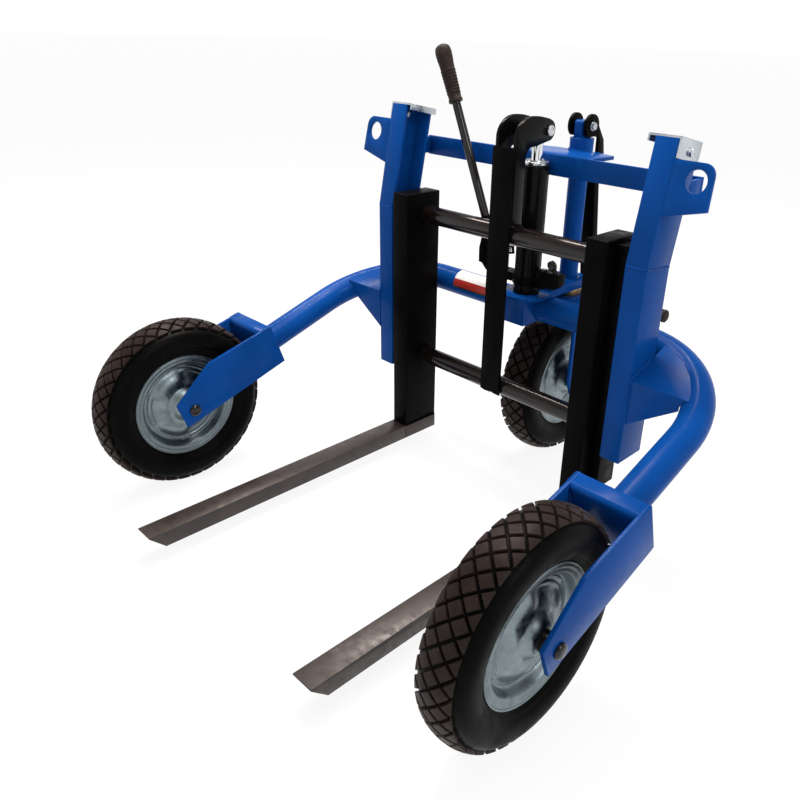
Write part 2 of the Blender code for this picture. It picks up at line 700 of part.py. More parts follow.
def build_pump_block(centre):
    """Pump body clamped round the cylinder: lever lug on the left, valve block on the right."""
    body = box_bm(PIVOT.x + 0.0270, 0.0580, JACK_Y - 0.0165, JACK_Y + 0.0165, PUMP_Z0, PUMP_Z1)
    block = add_object("pump_block", body, "black")
    join(block, rod_bm(JACK_R + 0.0030, "z", centre, PUMP_Z0 + 0.0010, PUMP_Z1 - 0.0010, 24))
    lug = [(PIVOT.x - 0.0100, 0.5060), (PIVOT.x + 0.0040, 0.4920), (PIVOT.x + 0.0310, PUMP_Z0 + 0.0010),
           (PIVOT.x + 0.0310, PUMP_Z1 - 0.0020), (PIVOT.x + 0.0150, PIVOT.z)]
    lug += arc_points(PIVOT.x, PIVOT.z, 0.0120, 10.0, 180.0, 8)
    join(block, prism_bm(lug, "y", JACK_Y - 0.0090, JACK_Y + 0.0090))
    valve = [(0.0345, PUMP_Z0 + 0.0050), (VALVE_X1 - 0.0100, PUMP_Z0 + 0.0050),
             (VALVE_X1, PUMP_Z0 + 0.0150), (VALVE_X1, VALVE_Z1), (0.0345, VALVE_Z1)]
    join(block, prism_bm(valve, "y", JACK_Y - 0.0140, JACK_Y + 0.0140))
    cut(block, rod_bm(PLUNGER_R + GAP, "z", (PLUNGER_X, JACK_Y, 0.0), 0.44, 0.54, 20))
    cut(block, rod_bm(PIVOT_BORE_R, "y", (PIVOT.x, JACK_Y, PIVOT.z), -0.03, 0.03, 20))
    cut(block, on_release(rod_bm(0.0053, "z", (0.0, 0.0, 0.0), -0.0080, 0.0300, 20)))
    cut(block, rod_bm(JACK_R + GAP, "z", centre, 0.44, 0.54, 24))


def on_release(bm):
    """Move a bmesh drawn along +Z at the origin onto the leaning release spindle."""
    place = Matrix.Translation(RELEASE) @ Matrix.Rotation(-RELEASE_LEAN, 4, "Y")
    bmesh.ops.transform(bm, matrix=place, verts=bm.verts)
    return bm


def on_lever(bm):
    """Move a bmesh drawn along +Z at the origin onto the leaning pump lever."""
    place = Matrix.Translation(PIVOT + LEVER_FOOT) @ Matrix.Rotation(-LEVER_ANGLE, 4, "Y")
    bmesh.ops.transform(bm, matrix=place, verts=bm.verts)
    return bm


def build_pump():
    """Plunger with its cross pin, and the bolt that the pump lever turns on."""
    pin = (PLUNGER_X, JACK_Y, PLUNGER_PIN_Z)
    body = rod_bm(PLUNGER_R, "z", (PLUNGER_X, JACK_Y, 0.0), 0.4930, 0.5552, 20)
    plunger = add_object("plunger", body, "steel", pin)
    join(plunger, rod_bm(0.0040, "y", pin, -0.0165, 0.0165, 16))
    smooth(plunger)
    y0, y1 = -0.0162, 0.0162
    profile = [(0.0, y0 - 0.0060), (0.0090, y0 - 0.0060), (0.0090, y0), (0.0050, y0),
               (0.0050, y1), (0.0085, y1), (0.0085, y1 + 0.0060), (0.0, y1 + 0.0060)]
    smooth(add_object("lever_pivot", lathe_bm(profile, "y", tuple(PIVOT), 16), "black"))


def cheek_points(toe):
    """Side outline (x, z) of the lever socket's cheeks, from the pivot to the plunger pin."""
    reach = (PLUNGER_X - PIVOT.x) / math.cos(toe) + 0.012
    tip_x, tip_z = reach * math.cos(toe), reach * math.sin(toe)
    points = [(-0.0130, -0.0290), (0.0060, -0.0310), (0.0160, -0.0100),
              (tip_x + 0.0015, tip_z - 0.0090), (tip_x - 0.0015, tip_z + 0.0085),
              (LEVER_FOOT.x + 0.0070, 0.0180)]
    direction = Vector((-math.sin(LEVER_ANGLE), 0.0, math.cos(LEVER_ANGLE)))
    side = Vector((math.cos(LEVER_ANGLE), 0.0, math.sin(LEVER_ANGLE)))
    for across in (0.0140, -0.0140):
        point = LEVER_FOOT + direction * 0.0420 + side * across
        points.append((point.x, point.z))
    points += [(-0.0140, 0.0050)]
    return [(PIVOT.x + x, PIVOT.z + z) for x, z in points]


def build_lever():
    """Removable pump lever with its grip, and the socket that holds it."""
    origin = (0.0, 0.0, 0.0)
    bore = LEVER_R + GAP
    tube = on_lever(ring_bm(bore, 0.0155, "z", origin, 0.0260, 0.0850, 20))
    socket = add_object("lever_socket", tube, "black", PIVOT)
    toe = math.radians(9.5)
    for low, high in ((-0.0155, -0.0095), (0.0095, 0.0155)):
        join(socket, prism_bm(cheek_points(toe), "y", JACK_Y + low, JACK_Y + high))
    cut(socket, on_lever(rod_bm(bore, "z", origin, 0.0262, 0.1200, 20)))
    cut(socket, rod_bm(PIVOT_BORE_R, "y", tuple(PIVOT), -0.03, 0.03, 24))
    cut(socket, slot_bm(toe))
    profile = [(0.0, 0.0300), (LEVER_R, 0.0300), (LEVER_R, 0.4750), (0.0, 0.4750)]
    bm = on_lever(lathe_bm(profile, "z", origin, 16))
    smooth(add_object("lever_rod", bm, "black", PIVOT))
    grip = [(bore, 0.3510), (0.0165, 0.3510), (0.0165, 0.3560), (0.0150, 0.3600),
            (0.0165, 0.4350), (0.0185, 0.4480), (0.0190, 0.4620), (0.0160, 0.4740),
            (0.0080, 0.4800), (0.0, 0.4810), (0.0, 0.4753), (bore, 0.4753)]
    bm = on_lever(lathe_bm(grip, "z", origin, 16))
    smooth(add_object("lever_grip", bm, "grip", PIVOT))


def slot_bm(toe):
    """Cutter for the slots in the socket's cheeks where the plunger pin slides."""
    bm = box_bm(-0.0085, 0.0085, -0.03, 0.03, -0.0047, 0.0047)
    turn = Matrix.Rotation(-toe, 4, "Y")
    move = Matrix.Translation((PLUNGER_X, JACK_Y, PLUNGER_PIN_Z))
    bmesh.ops.transform(bm, matrix=move @ turn, verts=bm.verts)
    return bm


def build_release_knob():
    """Knob on a leaning spindle that turns in the valve block."""
    profile = [(0.0, -0.0050), (0.0050, -0.0050), (0.0050, 0.0178), (0.0068, 0.0182),
               (0.0088, 0.0215), (0.0092, 0.0330), (0.0075, 0.0385), (0.0, 0.0400)]
    bm = on_release(lathe_bm(profile, "z", (0.0, 0.0, 0.0), 16))
    knob = add_object("release_knob", bm, "black", RELEASE)
    wings = on_release(box_bm(-0.0112, 0.0112, -0.0022, 0.0022, 0.0235, 0.0340))
    join(knob, wings)
    smooth(knob)


def build_steering():
    centre = (0.0, REAR_Y, 0.0)
    column = add_object("steer_column", rod_bm(COLUMN_R, "z", centre, 0.4283, 0.7960, 32),
                        "blue", (0.0, REAR_Y, 0.6))
    lug = [(REAR_Y - 0.0190, 0.7900), (REAR_Y + 0.0190, 0.7900)]
    lug += arc_points(REAR_Y, HINGE_Z, 0.0190, 0.0, 180.0, 8)
    join(column, prism_bm(lug, "x", -0.0110, 0.0110))
    cut(column, rod_bm(0.0063, "x", (0.0, REAR_Y, HINGE_Z), -0.03, 0.03))
    smooth(column)
    half = YOKE_HALF_IN + PLATE
    top = box_bm(-half, half, REAR_Y - 0.0600, REAR_Y + 0.0600, YOKE_TOP_Z, YOKE_TOP_Z + 0.0100)
    yoke = add_object("steer_yoke", top, "blue", (0.0, REAR_Y, 0.424))
    outline = [(REAR_Y - 0.0600, YOKE_TOP_Z + 0.001), (REAR_Y - 0.0600, 0.2150),
               (REAR_Y - 0.0350, 0.1650), (REAR_Y + 0.0350, 0.1650),
               (REAR_Y + 0.0600, 0.2150), (REAR_Y + 0.0600, YOKE_TOP_Z + 0.001)]
    for side in (-1.0, 1.0):
        join(yoke, sided(prism_bm(outline, "x", YOKE_HALF_IN, half), side))
    cut(yoke, rod_bm(AXLE_R + GAP, "x", (0.0, REAR_Y, TYRE_R), -0.10, 0.10))


def build_drawbar():
    """Pull handle that hangs behind the column and lifts up to pull and steer."""
    hinge = (0.0, REAR_Y, HINGE_Z)
    top = Vector((0.0, 0.4570, 0.7500))
    end = Vector((0.0, 0.5100, 0.4010))
    lean = math.atan2(end.y - top.y, top.z - end.z)
    sin, cos = math.sin(lean), math.cos(lean)
    half = 0.0100

    def edge(point, shift):
        return (point.y + shift * cos, point.z + shift * sin)

    bar = [edge(top, -half), edge(top, half), edge(end, half), edge(end, -half)]
    drawbar = add_object("drawbar", prism_bm(bar, "x", -0.0180, 0.0180), "black", hinge)
    cheek = arc_points(REAR_Y, HINGE_Z, 0.0260, 0.0, 235.0, 14)
    cheek += [(0.4200, 0.7990), (0.4430, 0.7985), (0.4440, 0.7250), (0.4780, 0.7300),
              (0.4640, 0.7900)]
    for side in (-1.0, 1.0):
        join(drawbar, sided(prism_bm(cheek, "x", 0.0175, 0.0255), side))
    cut(drawbar, rod_bm(0.0063, "x", hinge, -0.04, 0.04))
    join(drawbar, rod_bm(0.0100, "x", tuple(end), -0.2240, 0.2240, 20))
    smooth(drawbar)
    profile = [(0.0103, 0.1180), (0.0160, 0.1180), (0.0160, 0.2250), (0.0130, 0.2290),
               (0.0, 0.2295), (0.0, 0.2243), (0.0103, 0.2243)]
    for side, tag in ((-1.0, "left"), (1.0, "right")):
        bm = sided(lathe_bm(profile, "x", tuple(end), 20), side)
        smooth(add_object("drawbar_grip_" + tag, bm, "grip", hinge))
    ends = 0.0258
    profile = [(0.0, -ends - 0.0065), (0.0100, -ends - 0.0065), (0.0100, -ends),
               (0.0060, -ends), (0.0060, ends), (0.0100, ends), (0.0100, ends + 0.0065),
               (0.0, ends + 0.0065)]
    smooth(add_object("drawbar_bolt", lathe_bm(profile, "x", hinge, 16), "steel", hinge))


def main():
    clear_scene()
    build_frame_tube()
    for side, tag in ((-1.0, "left"), (1.0, "right")):
        build_wheel_yoke(side, tag)
        build_wheel(tag, (side * FRONT_X, FRONT_Y, TYRE_R), 0.063)
        build_mast(side, tag)
        build_stop_bracket(side, tag)
        build_side_bracket(side, tag)
    build_crossbar()
    build_column_plate()
    build_jack_seat()
    build_steer_housing()
    build_label()
    build_carriage()
    build_lift_channel()
    build_jack()
    build_pump()
    build_lever()
    build_release_knob()
    build_steering()
    build_wheel("rear", (0.0, REAR_Y, TYRE_R), YOKE_HALF_IN)
    build_drawbar()


main()
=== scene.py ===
"""Looks of the rough-terrain pallet truck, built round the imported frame.

Metres, in the frame of the CAD model: +Z up, ground at z = 0, fork tips at -Y.
"""
import math

import bmesh
import bpy
from mathutils import Matrix, Vector


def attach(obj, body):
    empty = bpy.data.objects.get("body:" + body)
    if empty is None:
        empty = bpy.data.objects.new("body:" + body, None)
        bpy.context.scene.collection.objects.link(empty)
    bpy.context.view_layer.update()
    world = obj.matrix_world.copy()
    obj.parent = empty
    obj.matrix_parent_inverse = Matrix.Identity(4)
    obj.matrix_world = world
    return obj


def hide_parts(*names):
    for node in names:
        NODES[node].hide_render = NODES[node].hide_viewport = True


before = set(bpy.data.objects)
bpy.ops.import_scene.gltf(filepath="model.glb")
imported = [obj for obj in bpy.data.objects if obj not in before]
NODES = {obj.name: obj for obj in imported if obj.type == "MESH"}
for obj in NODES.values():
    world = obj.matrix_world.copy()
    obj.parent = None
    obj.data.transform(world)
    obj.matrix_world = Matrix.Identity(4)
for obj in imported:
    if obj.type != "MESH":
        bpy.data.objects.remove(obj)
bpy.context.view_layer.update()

# Dimensions shared with the CAD model.
TYRE_R = 0.2
FRONT_X = 0.521
FRONT_Y = -0.38
REAR_Y = 0.413
FRONT_GAP = 0.063  # from a wheel's middle plane to its yoke
REAR_GAP = 0.068
TUBE_R = 0.032
TUBE_X = 0.521
TUBE_Y = 0.279
TUBE_Z = 0.424
TUBE_BEND = 0.229
AXLE_S = 0.696
SLOPE = math.asin((TUBE_Z - TYRE_R) / AXLE_S)
HEAD_S0 = 0.44
HEAD_S1 = 0.477
PLATE = 0.008
ARM_IN = 0.45
ARM_OUT = 0.592
MAST_IN = 0.324
MAST_OUT = 0.37
MAST_Y0 = 0.12
MAST_Y1 = 0.206
MAST_T = 0.008
MAST_BEND_Z = 0.622
MAST_TILT = math.radians(11.24)
MAST_TOP = 0.233
POST_IN = 0.247
POST_OUT = 0.295
BAR_R = 0.021
BAR_Y = 0.1635
BAR_ZS = (0.2535, 0.613)
JACK_Y = 0.248
PIN_Z = 0.824
FORK_Z0 = 0.029
FORK_Z1 = 0.065
FORK_TIP_Y = -0.613
POST_Y0 = 0.098
POST_Y1 = 0.205
PIVOT = Vector((-0.125, JACK_Y, 0.5375))
LEVER_ANGLE = math.radians(23.7)
LEVER_FOOT = Vector((0.022, 0.0, 0.0))
PLUNGER_X = -0.067
RELEASE = Vector((0.086, JACK_Y, 0.518))
RELEASE_LEAN = math.radians(40.0)
HINGE_Z = 0.822
GAP = 0.0003

# Where the label's red field and its black edge end, and how soft the change is.
LABEL_RED_Z = 0.4415
LABEL_BLACK_Z = 0.4235
LABEL_SOFT = 0.0004

WELD_RIPPLE = 0.0038
BOTH = (-1.0, 1.0)
ORIGIN = (0.0, 0.0, 0.0)
SIDES = ((-1.0, "left"), (1.0, "right"))


# ---- materials

class Graph:
    """A short way to write a node tree."""

    def __init__(self, name, colour, roughness, metallic=0.0, specular=0.5):
        self.mat = bpy.data.materials.new(name)
        self.mat.use_nodes = True
        self.tree = self.mat.node_tree
        self.shader = self.tree.nodes["Principled BSDF"]
        self.put(self.shader, "Base Color", (*colour, 1.0))
        self.put(self.shader, "Roughness", roughness)
        self.put(self.shader, "Metallic", metallic)
        self.put(self.shader, "Specular IOR Level", specular)
        self.mat.diffuse_color = (*colour, 1.0)
        self.coords = self.tree.nodes.new("ShaderNodeTexCoord").outputs["Object"]
        self.normal = None

    def put(self, node, socket, value):
        if isinstance(value, bpy.types.NodeSocket):
            self.tree.links.new(value, node.inputs[socket])
        else:
            node.inputs[socket].default_value = value

    def node(self, kind, output, **inputs):
        made = self.tree.nodes.new(kind)
        for name, value in inputs.items():
            self.put(made, name.replace("_", " "), value)
        return made.outputs[output]

    def stretched(self, scale):
        return self.node("ShaderNodeMapping", "Vector", Vector=self.coords, Scale=scale)

    def noise(self, scale, detail=3.0, roughness=0.5, vector=None):
        return self.node("ShaderNodeTexNoise", "Fac", Vector=vector or self.coords,
                         Scale=scale, Detail=detail, Roughness=roughness)

    def cells(self, scale):
        return self.node("ShaderNodeTexVoronoi", "Distance", Vector=self.coords, Scale=scale)

    def ramp(self, fac, low, high, start, stop):
        """Map fac between low and high onto start to stop, clamped."""
        made = self.tree.nodes.new("ShaderNodeMapRange")
        made.interpolation_type = "SMOOTHSTEP"
        for index, value in enumerate((fac, low, high, start, stop)):
            self.put(made, index, value)
        return made.outputs[0]

    def mix(self, fac, a, b):
        made = self.tree.nodes.new("ShaderNodeMix")
        made.data_type = "RGBA"
        for index, value in ((0, fac), (6, a), (7, b)):
            if isinstance(value, tuple):
                value = (*value, 1.0)
            self.put(made, index, value)
        return made.outputs[2]

    def bump(self, height, strength, distance):
        made = self.tree.nodes.new("ShaderNodeBump")
        self.put(made, "Height", height)
        self.put(made, "Strength", strength)
        self.put(made, "Distance", distance)
        if self.normal is not None:
            self.put(made, "Normal", self.normal)
        self.normal = made.outputs[0]

    def done(self, colour=None, roughness=None):
        if colour is not None:
            self.put(self.shader, "Base Color", colour)
        if roughness is not None:
            self.put(self.shader, "Roughness", roughness)
        if self.normal is not None:
            self.put(self.shader, "Normal", self.normal)
        return self.mat


def paint(name, deep, fresh, dust, roughness, specular):
    """Sprayed enamel: slight colour drift, orange peel, fine dust and handling marks."""
    g = Graph(name, fresh, roughness, specular=specular)
    drift = g.ramp(g.noise(7.0, 4.0), 0.3, 0.7, 0.0, 1.0)
    colour = g.mix(drift, deep, fresh)
    specks = g.ramp(g.noise(420.0, 2.0, 0.7), 0.7, 0.78, 0.0, 0.5)
    colour = g.mix(specks, colour, dust)
    marks = g.ramp(g.noise(26.0, 6.0, 0.72, g.stretched((1.0, 1.0, 0.22))), 0.62, 0.8, 0.0, 0.3)
    colour = g.mix(marks, colour, dust)
    g.bump(g.noise(340.0, 1.0), 0.1, 0.0006)
    g.bump(g.noise(36.0, 2.0), 0.12, 0.0015)
    rough = g.ramp(g.noise(48.0, 5.0, 0.65), 0.25, 0.75, roughness * 0.75, roughness * 1.45)
    return g.done(colour, rough)


def zinc(name, dark, light, roughness):
    """Bright zinc plating: cloudy, with a fine crystalline mottle and small stains."""
    g = Graph(name, light, roughness, metallic=1.0)
    cloud = g.ramp(g.noise(11.0, 5.0, 0.6), 0.3, 0.72, 0.0, 1.0)
    colour = g.mix(cloud, dark, light)
    spangle = g.ramp(g.cells(260.0), 0.0, 0.8, 0.0, 0.3)
    colour = g.mix(spangle, colour, dark)
    stain = g.ramp(g.noise(38.0, 6.0, 0.75), 0.66, 0.8, 0.0, 0.45)
    colour = g.mix(stain, colour, (0.2, 0.18, 0.16))
    g.bump(g.noise(150.0, 3.0), 0.1, 0.0006)
    g.bump(g.noise(14.0, 2.0), 0.1, 0.003)
    rough = g.ramp(g.noise(60.0, 5.0, 0.7), 0.3, 0.7, roughness * 0.75, roughness * 1.5)
    return g.done(colour, rough)


def turned(name, colour, roughness, along):
    """Machined steel with fine tool lines square to its axis and faint stains."""
    g = Graph(name, colour, roughness, metallic=1.0)
    scale = [1.0, 1.0, 1.0]
    scale["xyz".index(along)] = 60.0
    lines = g.noise(24.0, 2.0, 0.6, g.stretched(tuple(scale)))
    g.bump(lines, 0.15, 0.0003)
    worn = tuple(0.62 * c for c in colour)
    colour = g.mix(g.ramp(g.noise(45.0, 5.0, 0.7), 0.45, 0.8, 0.0, 0.7), colour, worn)
    return g.done(colour, g.ramp(lines, 0.3, 0.7, roughness * 0.7, roughness * 1.5))


def rubber(name, base, scuffed, roughness, grain, specular):
    """Moulded rubber: fine grain, chalky scuffs and patchy sheen."""
    g = Graph(name, base, roughness, specular=specular)
    scuff = g.ramp(g.noise(16.0, 6.0, 0.7), 0.42, 0.74, 0.0, 0.85)
    colour = g.mix(scuff, base, scuffed)
    dust = g.ramp(g.noise(240.0, 3.0, 0.7), 0.6, 0.74, 0.0, 0.3)
    colour = g.mix(dust, colour, tuple(2.2 * c for c in scuffed))
    g.bump(g.noise(grain, 3.0, 0.6), 0.35, 0.0005)
    g.bump(g.noise(34.0, 3.0), 0.2, 0.0012)
    rough = g.ramp(g.noise(28.0, 5.0, 0.6), 0.3, 0.7, roughness * 0.8, min(1.0, roughness * 1.25))
    return g.done(colour, rough)


def label_film():
    """Plain two-colour film: white above, red below, a thin black edge, no lettering."""
    g = Graph("label_film", (0.85, 0.85, 0.83), 0.4)
    height = g.node("ShaderNodeSeparateXYZ", "Z", Vector=g.coords)
    red = g.ramp(height, LABEL_RED_Z, LABEL_RED_Z + LABEL_SOFT, 1.0, 0.0)
    black = g.ramp(height, LABEL_BLACK_Z, LABEL_BLACK_Z + LABEL_SOFT, 1.0, 0.0)
    grime = g.ramp(g.noise(90.0, 5.0, 0.7), 0.45, 0.75, 0.0, 0.35)
    colour = g.mix(grime, (0.86, 0.86, 0.85), (0.55, 0.54, 0.52))
    colour = g.mix(red, colour, (0.36, 0.016, 0.008))
    colour = g.mix(black, colour, (0.012, 0.012, 0.012))
    g.bump(g.noise(70.0, 3.0), 0.08, 0.0006)
    return g.done(colour, g.ramp(g.noise(50.0, 4.0), 0.3, 0.7, 0.28, 0.5))


# A finish pairs a slot name with the material that a piece gets.
BLUE = "blue_paint", paint(
    "blue_enamel", (0.0022, 0.047, 0.215), (0.0032, 0.061, 0.285), (0.016, 0.12, 0.42), 0.2, 0.045)
BLACK = "black_paint", paint(
    "black_enamel", (0.0012, 0.0011, 0.0012), (0.0026, 0.0022, 0.0022), (0.022, 0.017, 0.015), 0.36, 0.03)
SATIN_BLACK = "black_paint", paint(
    "black_satin", (0.0016, 0.0016, 0.0016), (0.0034, 0.0033, 0.0032), (0.03, 0.026, 0.023), 0.22, 0.09)
# Glossy black for the bars, lever, knob and hub parts: the brownish tint of its base colour is a painted warm
# reflection, over black paint.
GLOSS_BLACK_PAINTED_REFLECTION = "black_paint", paint(
    "black_gloss_painted_reflection", (0.0045, 0.003, 0.0026), (0.01, 0.0064, 0.0052), (0.06, 0.042, 0.034), 0.15, 0.4)
# Fork blades: black paint with its base colour lifted to a warm brown, a painted reflection of warm light on
# the fork tops.
FORK_BLACK_PAINTED_REFLECTION = "black_paint", paint(
    "black_fork_painted_reflection", (0.02, 0.014, 0.0125), (0.042, 0.03, 0.026), (0.12, 0.09, 0.074), 0.38, 0.42)
ZINC = "zinc", zinc("zinc_plate", (0.15, 0.185, 0.2), (0.27, 0.325, 0.345), 0.34)
BRIGHT_ZINC = "zinc", zinc("zinc_bright", (0.42, 0.46, 0.5), (0.68, 0.72, 0.76), 0.26)
BOLT_ZINC = "steel", BRIGHT_ZINC[1]
STEEL_X = "steel", turned("steel_turned_x", (0.6, 0.61, 0.63), 0.26, "x")
STEEL_Z = "steel", turned("steel_turned_z", (0.6, 0.61, 0.63), 0.24, "z")
CHROME = "chrome", turned("chrome_ram", (0.78, 0.79, 0.8), 0.09, "z")
BRONZE = "bronze", turned("bronze_bush", (0.45, 0.28, 0.12), 0.3, "z")
TYRE_RUBBER = "tyre", rubber(
    "tyre_rubber", (0.002, 0.0019, 0.0019), (0.0046, 0.0039, 0.0036), 0.4, 520.0, 0.035)
# Tread blocks: the same rubber as the tyre, made lighter and browner, a painted reflection of warm light on
# the tread tops.
TREAD_RUBBER_PAINTED_SHEEN = "tyre", rubber(
    "tread_rubber_painted_sheen", (0.015, 0.009, 0.0076), (0.036, 0.023, 0.0195), 0.48, 420.0, 0.12)
GRIP_RUBBER = "grip", rubber(
    "grip_rubber", (0.018, 0.012, 0.01), (0.046, 0.032, 0.027), 0.55, 900.0, 0.12)
NYLON = "nylon", rubber("pad_nylon", (0.62, 0.6, 0.54), (0.4, 0.37, 0.32), 0.45, 700.0, 0.4)


# ---- mesh tools

def new_piece(name, bm, body, finish, nodes=(), bevel=0.0, segments=2, angle=32.0):
    """Finish a bmesh as a piece that rides on a body and stands for CAD nodes."""
    slot, mat = finish
    bmesh.ops.recalc_face_normals(bm, faces=bm.faces)
    mesh = bpy.data.meshes.new(name)
    bm.to_mesh(mesh)
    bm.free()
    obj = bpy.data.objects.new(name, mesh)
    bpy.context.scene.collection.objects.link(obj)
    mesh.materials.append(mat)
    if bevel > 0.0:
        mod = obj.modifiers.new("bevel", "BEVEL")
        mod.width = bevel
        mod.segments = segments
        mod.limit_method = "ANGLE"
        mod.angle_limit = math.radians(angle)
        mod.use_clamp_overlap = False
        bpy.context.view_layer.update()
        graph = bpy.context.evaluated_depsgraph_get()
        rounded = bpy.data.meshes.new_from_object(obj.evaluated_get(graph))
        obj.modifiers.clear()
        obj.data = rounded
        bpy.data.meshes.remove(mesh)
    obj.data.shade_smooth()
    obj.data.set_sharp_from_angle(angle=math.radians(angle))
    for node in nodes:
        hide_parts(node)
    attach(obj, body)


def from_cad(node):
    """The CAD node's surface with its triangles joined back into flat faces."""
    bm = bmesh.new()
    bm.from_mesh(NODES[node].data)
    bmesh.ops.remove_doubles(bm, verts=bm.verts, dist=1e-5)
    bmesh.ops.dissolve_limit(bm, angle_limit=math.radians(0.6), verts=bm.verts, edges=bm.edges)
    return bm


def cad_piece(name, node, body, finish, **edges):
    """A piece with the CAD node's own shape and rounded edges."""
    new_piece(name, from_cad(node), body, finish, [node], **edges)


def band(bm, a, b):
    """Faces between two rings of as many vertices."""
    for i in range(len(a)):
        j = (i + 1) % len(a)
        bm.faces.new((a[i], a[j], b[j], b[i]))


def bands(bm, rings, closed=False):
    """Faces between each ring and the next, and from the last to the first if closed."""
    for a, b in zip(rings, rings[1:] + rings[:1] if closed else rings[1:]):
        band(bm, a, b)


def loft(low, high, bm=None):
    """A solid between two rings of as many points."""
    bm = bm or bmesh.new()
    bottom = [bm.verts.new(point) for point in low]
    top = [bm.verts.new(point) for point in high]
    bm.faces.new(bottom)
    bm.faces.new(top[::-1])
    band(bm, bottom, top)
    return bm


def prism(points, axis, low, high, bm=None):
    """An outline pushed along an axis."""
    place = {
        "x": lambda a, b, h: (h, a, b),
        "y": lambda a, b, h: (a, h, b),
        "z": lambda a, b, h: (a, b, h),
    }[axis]
    return loft([place(a, b, low) for a, b in points], [place(a, b, high) for a, b in points], bm)


def box(x0, x1, y0, y1, z0, z1, bm=None):
    return prism([(x0, y0), (x1, y0), (x1, y1), (x0, y1)], "z", z0, z1, bm)


def lathe(profile, axis, centre, segments, bm=None):
    """Revolve a closed (radius, position) outline about an axis through centre."""
    bm = bm or bmesh.new()
    cx, cy, cz = centre
    place = {
        "x": lambda r, h, c, s: (cx + h, cy + r * c, cz + r * s),
        "y": lambda r, h, c, s: (cx + r * c, cy + h, cz + r * s),
        "z": lambda r, h, c, s: (cx + r * c, cy + r * s, cz + h),
    }[axis]
    rings = []
    for radius, height in profile:
        if radius < 1e-9:
            rings.append([bm.verts.new(place(0.0, height, 1.0, 0.0))])
            continue
        rings.append([bm.verts.new(place(radius, height, math.cos(math.tau * k / segments),
                                         math.sin(math.tau * k / segments)))
                      for k in range(segments)])
    for i, a in enumerate(rings):
        b = rings[(i + 1) % len(rings)]
        if len(a) == 1 and len(b) == 1:
            continue
        for k in range(segments):
            m = (k + 1) % segments
            quad = [a[k % len(a)], a[m % len(a)], b[m % len(b)], b[k % len(b)]]
            bm.faces.new(list(dict.fromkeys(quad)))
    return bm


def rod(radius, low, high, axis, centre, segments, bm=None):
    return lathe([(0.0, low), (radius, low), (radius, high), (0.0, high)], axis, centre, segments, bm)


def mirrored(half):
    """A (radius, position) outline that runs through both signs of position."""
    return [(r, -x) for r, x in half[::-1]] + half


def rounded(corners, radius, steps=4):
    """A (radius, position) outline with each listed corner rounded."""
    points = []
    count = len(corners)
    for i, (x, y, *keep) in enumerate(corners):
        here = Vector((x, y))
        before = Vector(corners[i - 1][:2]) - here
        after = Vector(corners[(i + 1) % count][:2]) - here
        room = 0.45 * min(before.length, after.length)
        size = min(keep[0] if keep else radius, room)
        if size < 1e-6:
            points.append((x, y))
            continue
        start = here + before.normalized() * size
        stop = here + after.normalized() * size
        for k in range(steps + 1):
            t = k / steps
            point = start.lerp(here, t).lerp(here.lerp(stop, t), t)
            points.append((point.x, point.y))
    return points


def arc(cx, cy, radius, start, stop, steps):
    points = []
    for k in range(steps + 1):
        angle = math.radians(start + (stop - start) * k / steps)
        points.append((cx + radius * math.cos(angle), cy + radius * math.sin(angle)))
    return points


def hexagon(a, b, radius, turn, axis, low, high, bm):
    """A six-sided nut or bolt head with its first corner at turn degrees."""
    prism(arc(a, b, radius, turn, turn + 300.0, 5), axis, low, high, bm)


def sweep(path, radii, segments, bm=None, closed=False):
    """A tube along a path, with one radius for each point and capped ends."""
    bm = bm or bmesh.new()
    rows = []
    count = len(path)
    up = Vector((0.0, 0.0, 1.0))
    for i, point in enumerate(path):
        after = path[(i + 1) % count] if closed else path[min(i + 1, count - 1)]
        before = path[i - 1] if closed else path[max(i - 1, 0)]
        along = (after - before).normalized()
        if abs(along.dot(up)) > 0.95:
            up = Vector((0.0, 1.0, 0.0))
        side = along.cross(up).normalized()
        up = side.cross(along).normalized()
        rows.append([bm.verts.new(point + (side * math.cos(math.tau * k / segments)
                                           + up * math.sin(math.tau * k / segments)) * radii[i])
                     for k in range(segments)])
    bands(bm, rows, closed)
    if not closed:
        bm.faces.new(rows[0])
        bm.faces.new(rows[-1][::-1])
    return bm


def weld(path, size, bm, closed=False):
    """A rippled weld bead along a line of points."""
    path = [Vector(point) for point in path]
    dense = []
    for a, b in zip(path, path[1:] + path[:1] if closed else path[1:]):
        steps = max(2, round((b - a).length / (WELD_RIPPLE / 3.0)))
        dense += [a.lerp(b, k / steps) for k in range(steps)]
    if not closed:
        dense.append(path[-1])
    radii = []
    for i in range(len(dense)):
        wave = 0.5 + 0.5 * math.sin(math.tau * i / 3.0)
        drift = math.sin(i * 0.37) * 0.5 + math.sin(i * 0.11 + 1.0) * 0.5
        radii.append(size * (0.86 + 0.14 * wave + 0.08 * drift))
    if not closed:
        radii[0] = size * 0.3
        radii[-1] = size * 0.3
    sweep(dense, radii, 8, bm, closed)


def moved(bm, matrix):
    """The same mesh after a matrix."""
    bmesh.ops.transform(bm, matrix=matrix, verts=bm.verts)
    return bm


def mapped(bm, function):
    """The same mesh with each vertex placed by a function of its x, y and z."""
    for vert in bm.verts:
        vert.co = function(*vert.co)
    return bm


def sided(bm, side):
    """The same mesh, or its mirror image for the left side."""
    if side < 0.0:
        bmesh.ops.scale(bm, verts=bm.verts, vec=(-1.0, 1.0, 1.0))
        bmesh.ops.reverse_faces(bm, faces=bm.faces)
    return bm


def absorb(bm, extra):
    """Add the faces of a second bmesh to the first."""
    mesh = bpy.data.meshes.new("part")
    extra.to_mesh(mesh)
    extra.free()
    bm.from_mesh(mesh)
    bpy.data.meshes.remove(mesh)


def slope_point(x, along, above):
    """A point of the sloping frame: distance down the slope from the rear tube, height above it."""
    y = TUBE_Y - along * math.cos(SLOPE) - above * math.sin(SLOPE)
    z = TUBE_Z - along * math.sin(SLOPE) + above * math.cos(SLOPE)
    return Vector((x, y, z))


